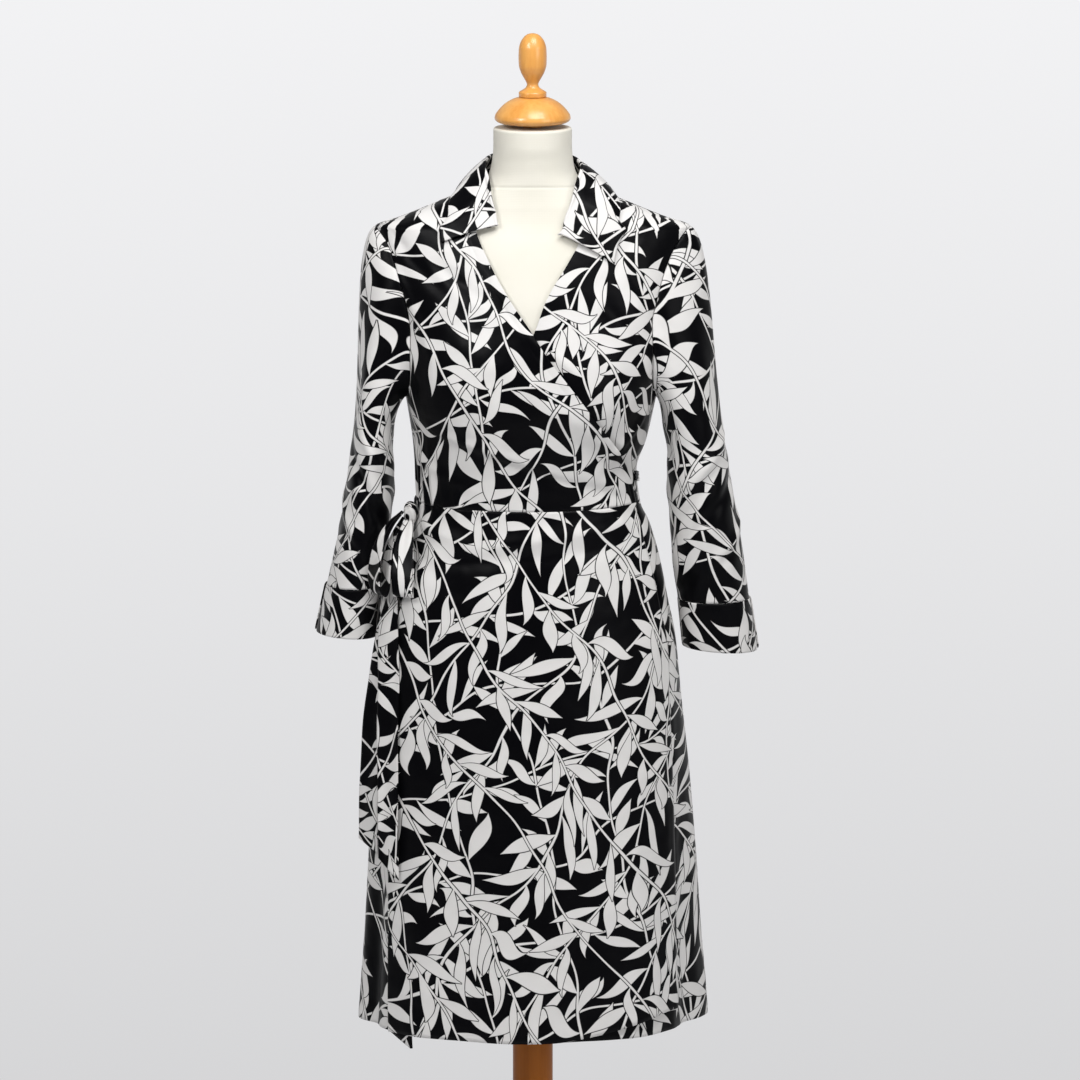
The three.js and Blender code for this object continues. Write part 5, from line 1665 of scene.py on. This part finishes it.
    def tail(self, name: str, node: str, table: Table, cut: float, shift: tuple[float, float]) -> Cloth:
        """One tail, which hangs beside the skirt to a slanted cut.

        Args:
            name: Name of the piece.
            node: CAD node that it stands for.
            table: Its places, with the way across in degrees and half the width.
            cut: How far the cut slants.
            shift: Where the print starts.

        Returns:
            The piece of cloth.
        """
        z = np.linspace(table.rows[0][0], table.rows[-1][0], self.tail_steps + 1)
        row = table.at(z)
        angle = np.radians(row["across"])
        across = np.stack([np.cos(angle), np.sin(angle), 0 * angle], -1)
        k = np.linspace(-1, 1, self.columns)[None, :]
        middle = np.stack([row["x"], row["y"], z], -1)
        grid = middle[:, None] + across[:, None] * (k * row["half"][:, None])[..., None]
        place = np.linspace(0, 14, self.tail_steps + 1)[:, None]
        grid[..., 2] -= k * cut * ease((place - 11) / 3) / 2
        out = np.cross(across, np.array([0.0, 0.0, 1.0]))[:, None]
        wave = 0.9 * np.sin(k * 2.6 + place * 0.5) * ease(place / 2) + 0.5 * np.sin(place * 1.7)
        grid = grid + out * wave[..., None]
        return Cloth(name, node, grid, behind(grid, self.wall), Hold.HUNG, ("bow_knot",), shift)

    def knot(self, finish: bpy.types.Material) -> None:
        """The knot, cloth wound round itself in slanting turns.

        Args:
            finish: The cloth's material.
        """
        rows, columns = 40, 64
        lift = np.linspace(-math.pi / 2, math.pi / 2, rows + 1)[1:-1, None]
        turn = np.linspace(0, 2 * math.pi, columns, endpoint=False)[None, :]
        ridges = 0.06 * np.sin(5 * turn + 3 * lift) * np.cos(lift)
        groove = 0.13 * bell((lift - 0.5 * np.sin(turn) - 0.15) / 0.14)
        wound = 1 + ridges - groove
        wide, deep, high = self.knot_size
        local = np.stack([
            wide * np.cos(lift) * np.cos(turn) * wound,
            deep * np.cos(lift) * np.sin(turn) * wound,
            high * np.sin(lift) * wound,
        ], -1).reshape(-1, 3)
        local = np.vstack([local, [[0, 0, -high], [0, 0, high]]])
        out = BODY.normal(np.array([self.knot_place[0]]), np.array([self.knot_place[1]]))[0]
        angle = math.atan2(out[1], out[0])
        spin = np.array([
            [math.cos(angle), -math.sin(angle), 0], [math.sin(angle), math.cos(angle), 0], [0, 0, 1]
        ])
        points = local @ spin.T + self.knot_centre() - np.array([0.0, 0.0, self.knot_drop])
        uv = np.stack([local[:, 1] + local[:, 0], local[:, 2]], -1) * self.knot_print * METRE
        uv = uv + np.array([11.03, 0.36])
        made = mesh_object("bow_knot", points, closed_faces(rows - 1, columns), None, uv)
        seat(made, finish, "tie_knot")

    def pieces(self) -> list[Cloth]:
        """The band, the loops and the tails."""
        return [
            self.band(),
            self.loop("bow_loop_front", "tie_loop_front", self.front_loop, (10.2, 0.1)),
            self.loop("bow_loop_side", "tie_loop_side", self.side_loop, (10.7, 0.6)),
            self.tail("bow_tail_front", "tie_tail_front", self.front_tail, cut=24, shift=(12.1, 0.2)),
            self.tail("bow_tail_side", "tie_tail_side", self.side_tail, cut=14, shift=(12.9, 0.8)),
        ]


@dataclass
class DressForm:
    """The limbless form: covered body, turned cap and finial, pole and plain round base."""

    bottom: float = 770
    neck_top: float = 1509.5
    cap_rise: float = 4.9
    spindle_radius: float = 12
    cap: Table = Table("z radius", (
        (0, 38), (1, 41.5), (2.3, 44.1), (4.2, 45.9), (6.2, 46.6), (10, 45.8), (13.8, 43.4), (18, 40),
        (21.7, 36.3), (25.4, 31.6), (28.4, 26.4), (30.6, 21), (31.8, 16),
    ))
    finial: Table = Table("z radius", (
        (0, 16.4), (0.7, 17), (5.4, 17), (8.6, 12.4), (11.5, 8.4), (15.4, 7), (17.9, 7.8), (23, 10.6),
        (30.1, 14.4), (38.7, 16.9), (48.8, 17.3), (58.8, 16.9),
        (67.4, 14.5), (74, 9.8), (76.6, 6.2), (77.6, 2.6),
    ))
    finial_height: float = 77.8
    pole_radius: float = 25
    base_radius: float = 190
    base_height: float = 26
    base_round: float = 8
    bust_share: float = 0.6
    columns: int = 192
    # Radii of the body's lower and upper edge, and how far they draw it in.
    low_round: float = 15
    high_round: float = 3
    low_draw: float = 0.07
    high_draw: float = 0.05
    sharp: float = 60
    # Height from which the rows lie closer together.
    shoulder_z: float = 1360
    # Seams of the cover: round the neck, lower at the front, and down the back and both sides.
    neck_seam: float = 1441
    neck_seam_rise: float = 7
    neck_groove: float = 0.7
    side_groove: float = 0.5
    inset: Table = Table("z inset shoulder", (
        (740, 14, 0), (830, 11, 0), (900, 8, 0), (1050, 5.5, 0), (1179, 6, 0), (1230, 6, 5),
        (1290, 6, 9), (1340, 5, 12), (1375, 3, 14), (1386, 2.5, 12), (1396, 2.5, 3), (1404, 2.4, 0),
        (1414, 2.3, 0), (1425, 3, 0), (1440, 5, 0), (1455, 5.5, 0), (1470, 4.5, 0), (1490, 3, 0),
        (1515, 3, 0),
    ))
    varnished: tuple[VarnishedBeech, VarnishedBeech] = (
        VarnishedBeech("varnished_honey_beech", "#dda558", "#c88435"),
        VarnishedBeech("varnished_dark_beech", "#a55f1a", "#86490d", coat=0.08, gloss=0.12),
    )

    def surface(self, turn: np.ndarray, z: np.ndarray) -> np.ndarray:
        """Points of the form's body, inside the dress.

        Args:
            turn: Turns about the axis.
            z: Heights.

        Returns:
            Points in millimetres.
        """
        row = self.inset.at(z)
        seam = self.neck_seam + self.neck_seam_rise * (1 - np.cos(np.radians(turn))) / 2
        groove = self.neck_groove * bell((z - seam) / 1.3)
        for side in (180, 90, -90):
            groove = groove + self.side_groove * bell(turn_between(turn, side) * 1.6)
        out = self.bust_share * BODY.bust_lift(turn, z) - row["inset"] - groove
        points = BODY.oval(turn, z) + BODY.normal(turn, z) * out[..., None]
        drawn = row["shoulder"] * np.abs(np.sin(np.radians(turn))) ** 6
        points[..., 0] -= np.sign(points[..., 0]) * drawn
        return points

    def end_ring(self, turn: np.ndarray, z: float, share: float, level: float) -> np.ndarray:
        """Ring of one of the rounded ends.

        Args:
            turn: Turns of its points.
            z: Height of the section that it is drawn from.
            share: How far it is drawn in.
            level: Where it lies.

        Returns:
            Its points.
        """
        ring = self.surface(turn, np.full(self.columns, z))
        ring[:, :2] *= share
        ring[:, 2] = level
        return ring

    def torso(self, cover: bpy.types.Material) -> None:
        """The covered body and neck, with rounded ends.

        Args:
            cover: Material of the cover.
        """
        turn = np.arange(self.columns) * 360 / self.columns
        low, high = self.bottom + self.low_round, self.neck_top - self.high_round
        rings = []
        for k in range(1, 9):
            angle = k / 9 * math.pi / 2
            share = 1 - self.low_draw + self.low_draw * math.sin(angle)
            rings.append(self.end_ring(turn, low, share, low - self.low_round * math.cos(angle)))
        body = np.linspace(low, self.shoulder_z, 120)
        neck = np.linspace(self.shoulder_z + 1, high, 130)
        for z in (*body, *neck):
            rings.append(self.surface(turn, np.full(self.columns, z)))
        for k in range(1, 6):
            angle = k / 5 * math.pi / 2
            share = 1 - self.high_draw + self.high_draw * math.cos(angle)
            rings.append(self.end_ring(turn, high, share, high + self.high_round * math.sin(angle)))
        points = np.vstack([*rings, rings[0].mean(0), rings[-1].mean(0)])
        made = mesh_object("form_cover_cloth", points, closed_faces(len(rings), self.columns))
        made.modifiers.new("edges", "EDGE_SPLIT").split_angle = math.radians(self.sharp)
        seat(made, cover, "form_torso")

    def cap_profile(self) -> list[tuple[float, float]]:
        """Domed cap on the short spindle that lifts it off the neck."""
        levels = np.linspace(0, float(self.cap.rows[-1][0]), 48)
        dome = zip(self.cap.at(levels)["radius"].tolist(), (levels + self.cap_rise).tolist())
        foot = [(0.0, 0.0), (self.spindle_radius, 0.0), (self.spindle_radius, self.cap_rise)]
        return [*foot, *dome, (0.0, self.cap_height())]

    def cap_height(self) -> float:
        """Height of the cap with its spindle."""
        return self.cap_rise + float(self.cap.rows[-1][0])

    def finial_profile(self) -> list[tuple[float, float]]:
        """Finial: a ring, a narrow neck and a blunt egg."""
        share = np.sin(np.linspace(0, math.pi / 2, 72)) ** 1.4
        levels = share * float(self.finial.rows[-1][0])
        egg = zip(self.finial.at(levels)["radius"].tolist(), levels.tolist())
        return [(0.0, 0.0), *egg, (0.0, self.finial_height)]

    def base_profile(self) -> list[tuple[float, float]]:
        """Base: a plain disc with a rounded upper edge."""
        radius, height = self.base_radius - self.base_round, self.base_height - self.base_round
        profile = [(0.0, 0.0), (self.base_radius - 2, 0.0), (self.base_radius, 2.0)]
        for angle in np.linspace(0, math.pi / 2, 13):
            across, up = self.base_round * math.cos(angle), self.base_round * math.sin(angle)
            profile.append((radius + across, height + up))
        return [*profile, (0.0, self.base_height)]

    def build(self) -> None:
        """Make the whole form and stand."""
        honey, dark = (wood.material() for wood in self.varnished)
        self.torso(CottonCover().material())
        cap = lathe("turned_neck_cap", self.cap_profile(), self.neck_top + SEAM_GAP)
        finial = lathe(
            "turned_finial", self.finial_profile(), self.neck_top + self.cap_height() + 2 * SEAM_GAP
        )
        height = self.bottom - self.base_height - 2 * SEAM_GAP
        profile = [
            (0.0, 0.0), (self.pole_radius - 1, 0.0), (self.pole_radius, 1.0),
            (self.pole_radius, height - 1), (self.pole_radius - 1, height), (0.0, height),
        ]
        pole = lathe("turned_pole", profile, self.base_height + SEAM_GAP)
        base = lathe("round_base", self.base_profile(), 0, 160)
        for made, node, slot, finish in (
            (cap, "neck_cap", "honey_wood", honey), (finial, "finial", "honey_wood", honey),
            (pole, "pole", "pole_wood", dark), (base, "base", "pole_wood", dark),
        ):
            seat(made, finish, node)


@dataclass
class Studio:
    """Camera, soft lights and a plain pale floor, in metres."""

    distance: float = 8.0
    elevation: float = 10.5
    target: tuple[float, float, float] = (0.009, 0.0, 0.997)
    frame_width: float = 1.334
    # Light of the world by the height of the direction: pale paper below the horizon, dimmer elsewhere.
    paper: tuple[tuple[float, float], ...] = (
        (-0.42, 0.36), (-0.3, 0.62), (-0.264, 0.67), (-0.18, 0.79), (-0.1, 0.89),
        (-0.05, 0.89), (0.06, 0.36),
    )
    # Share of the world's light that comes from the front, where the room is darker than the paper.
    front_light: float = 0.3
    # Name, place, side and watts of each lamp.
    lamps: tuple[tuple[str, tuple[float, float, float], float, float], ...] = (
        ("key", (-1.7, -2.2, 3.0), 1.0, 52),
        ("fill", (2.8, -3.0, 2.2), 2.0, 44),
        ("top", (0.4, -1.1, 3.2), 1.3, 52),
    )
    # Half the floor's width, and how far it reaches in front of the part and behind it.
    floor_half: float = 6.0
    floor_front: float = 7.0
    floor_behind: float = 1.0
    sensor: float = 36

    def camera(self) -> None:
        """Camera at the photograph's angle."""
        data = bpy.data.cameras.new("camera")
        data.sensor_width = self.sensor
        data.lens = self.sensor * self.distance / self.frame_width
        made = linked("camera", data)
        angle = math.radians(self.elevation)
        x, y, z = self.target
        made.location = (x, y - self.distance * math.cos(angle), z + self.distance * math.sin(angle))
        made.rotation_euler = (math.pi / 2 - angle, 0, 0)
        bpy.context.scene.camera = made

    def backdrop(self) -> None:
        """World that is a pale paper just below the horizon, and lights less from the front."""
        world = bpy.data.worlds.new("studio")
        world.use_nodes = True
        tree = world.node_tree
        tree.nodes.clear()
        towards = add_node(tree, "ShaderNodeTexCoord").outputs["Generated"]
        way = add_node(tree, "ShaderNodeSeparateXYZ", None, {0: towards})
        place = add_node(
            tree, "ShaderNodeMath", {"operation": "MULTIPLY_ADD"},
            {0: way.outputs[2], 1: 0.5, 2: 0.5},
        )
        behind = add_node(
            tree, "ShaderNodeMapRange", None,
            {
                "Value": way.outputs[1], "From Min": -0.3, "From Max": 0.5,
                "To Min": self.front_light, "To Max": 1.0,
            },
        )
        seen = add_node(tree, "ShaderNodeLightPath").outputs["Is Camera Ray"]
        strength = add_node(
            tree, "ShaderNodeMath", {"operation": "MAXIMUM"}, {0: behind.outputs[0], 1: seen}
        ).outputs[0]
        ramp = add_node(tree, "ShaderNodeValToRGB", None, {0: place.outputs[0]})
        stops = ramp.color_ramp.elements
        while len(stops) < len(self.paper):
            stops.new(0.5)
        for stop, (towards_z, light) in zip(stops, self.paper):
            stop.position = (towards_z + 1) / 2
            stop.color = (light, light, light * 1.015, 1.0)
        sky = add_node(
            tree, "ShaderNodeBackground", None, {"Color": ramp.outputs[0], "Strength": strength}
        )
        add_node(tree, "ShaderNodeOutputWorld", None, {"Surface": sky.outputs[0]})
        bpy.context.scene.world = world

    def light(self, name: str, place: tuple[float, float, float], size: float, power: float) -> None:
        """Soft square light that faces the middle of the dress.

        Args:
            name: Name of the light.
            place: Where it hangs.
            size: Length of its side.
            power: Watts.
        """
        data = bpy.data.lights.new(name, "AREA")
        data.size = size
        data.energy = power
        made = linked(name, data)
        made.location = place
        away = made.location - type(made.location)(self.target)
        made.rotation_euler = away.to_track_quat("Z", "Y").to_euler()

    def build(self) -> None:
        """Lights, world and floor."""
        bpy.context.scene.view_settings.view_transform = "Standard"
        for name, place, size, power in self.lamps:
            self.light(name, place, size, power)
        self.backdrop()
        half, front, behind_it = self.floor_half, -self.floor_front, self.floor_behind
        corners = [(-half, front, 0), (half, front, 0), (half, behind_it, 0), (-half, behind_it, 0)]
        mesh = bpy.data.meshes.new("studio_floor")
        mesh.from_pydata(corners, [], [(0, 1, 2, 3)])
        mesh.materials.append(PaleFloor().material())
        linked("studio_floor", mesh)


# The first five creases of a sleeve are those of its solid.
CREASE_NAMES = "aroundA zA aroundB zB lift half"
DEEP_CREASES = (
    (60, 1250, 150, 1120, -5, 14), (100, 1190, 190, 1060, 4, 13), (250, 1230, 190, 1090, -4, 14),
    (70, 1080, 160, 1000, -3, 12), (300, 1060, 220, 990, 3, 12),
)
LEFT_CREASES = Table(CREASE_NAMES, DEEP_CREASES + (
    (40, 1330, 95, 1240, -2.4, 9), (20, 1160, 110, 1100, 2.7, 7), (30, 1110, 120, 1040, -2.7, 7),
    (10, 1050, 100, 985, 2.8, 7), (50, 1010, 140, 960, -2.4, 7), (330, 1180, 250, 1120, 2.7, 8),
    (320, 1110, 240, 1050, -2.7, 8), (340, 1010, 270, 960, 2.4, 8),
))

RIGHT_CREASES = Table(CREASE_NAMES, DEEP_CREASES + (
    (30, 1320, 100, 1230, 2.2, 9), (35, 1200, 120, 1150, -2.7, 8), (15, 1130, 105, 1075, 2.8, 7),
    (25, 1070, 115, 1010, -2.8, 7), (5, 1020, 95, 965, 2.7, 7), (60, 980, 150, 940, -2.2, 7),
    (325, 1190, 245, 1110, -2.5, 8), (335, 1090, 255, 1030, 2.7, 8), (315, 1000, 245, 950, -2.4, 8),
))

LEFT_SLEEVE = Table("z inner outer half middle", (
    (1138, 170, 221, 56, 0), (1100, 171.5, 226, 54, -1), (1060, 173, 231, 52, -2),
    (1020, 175, 237, 50, -3), (985, 179, 245, 48, -4), (945, 185, 254, 45, -5),
    (882, 193, 268, 43, -6),
))

RIGHT_SLEEVE = Table("z inner outer half middle", (
    (1138, 160, 233, 50, 1), (1100, 166, 240, 49, 2), (1060, 168, 247, 48, 4),
    (1020, 169, 254, 47, 6), (975, 172, 261, 45, 9), (924, 179, 268, 43, 12),
    (860, 186, 278, 42, 15),
))


def main() -> None:
    """Build the studio, the form and the dress, in that order."""
    studio = Studio()
    studio.camera()
    studio.build()
    DressForm().build()
    jersey = PrintedJersey().material()
    bodice = Bodice()
    left = Sleeve(
        Side.LEFT, LEFT_SLEEVE, cuff_top=944, cuff_tilt=6, bodice=bodice, creases=LEFT_CREASES,
        shift=(14.3, 0.7),
    )
    right = Sleeve(
        Side.RIGHT, RIGHT_SLEEVE, cuff_top=923, cuff_tilt=-6, bodice=bodice, creases=RIGHT_CREASES,
        shift=(16.8, 1.9),
    )
    tie = Tie()
    tie.knot(jersey)
    for part in (bodice, Skirt(bodice), left, right, Collar(), tie):
        for piece in part.pieces():
            piece.build(jersey)


if __name__ == "__main__":
    main()
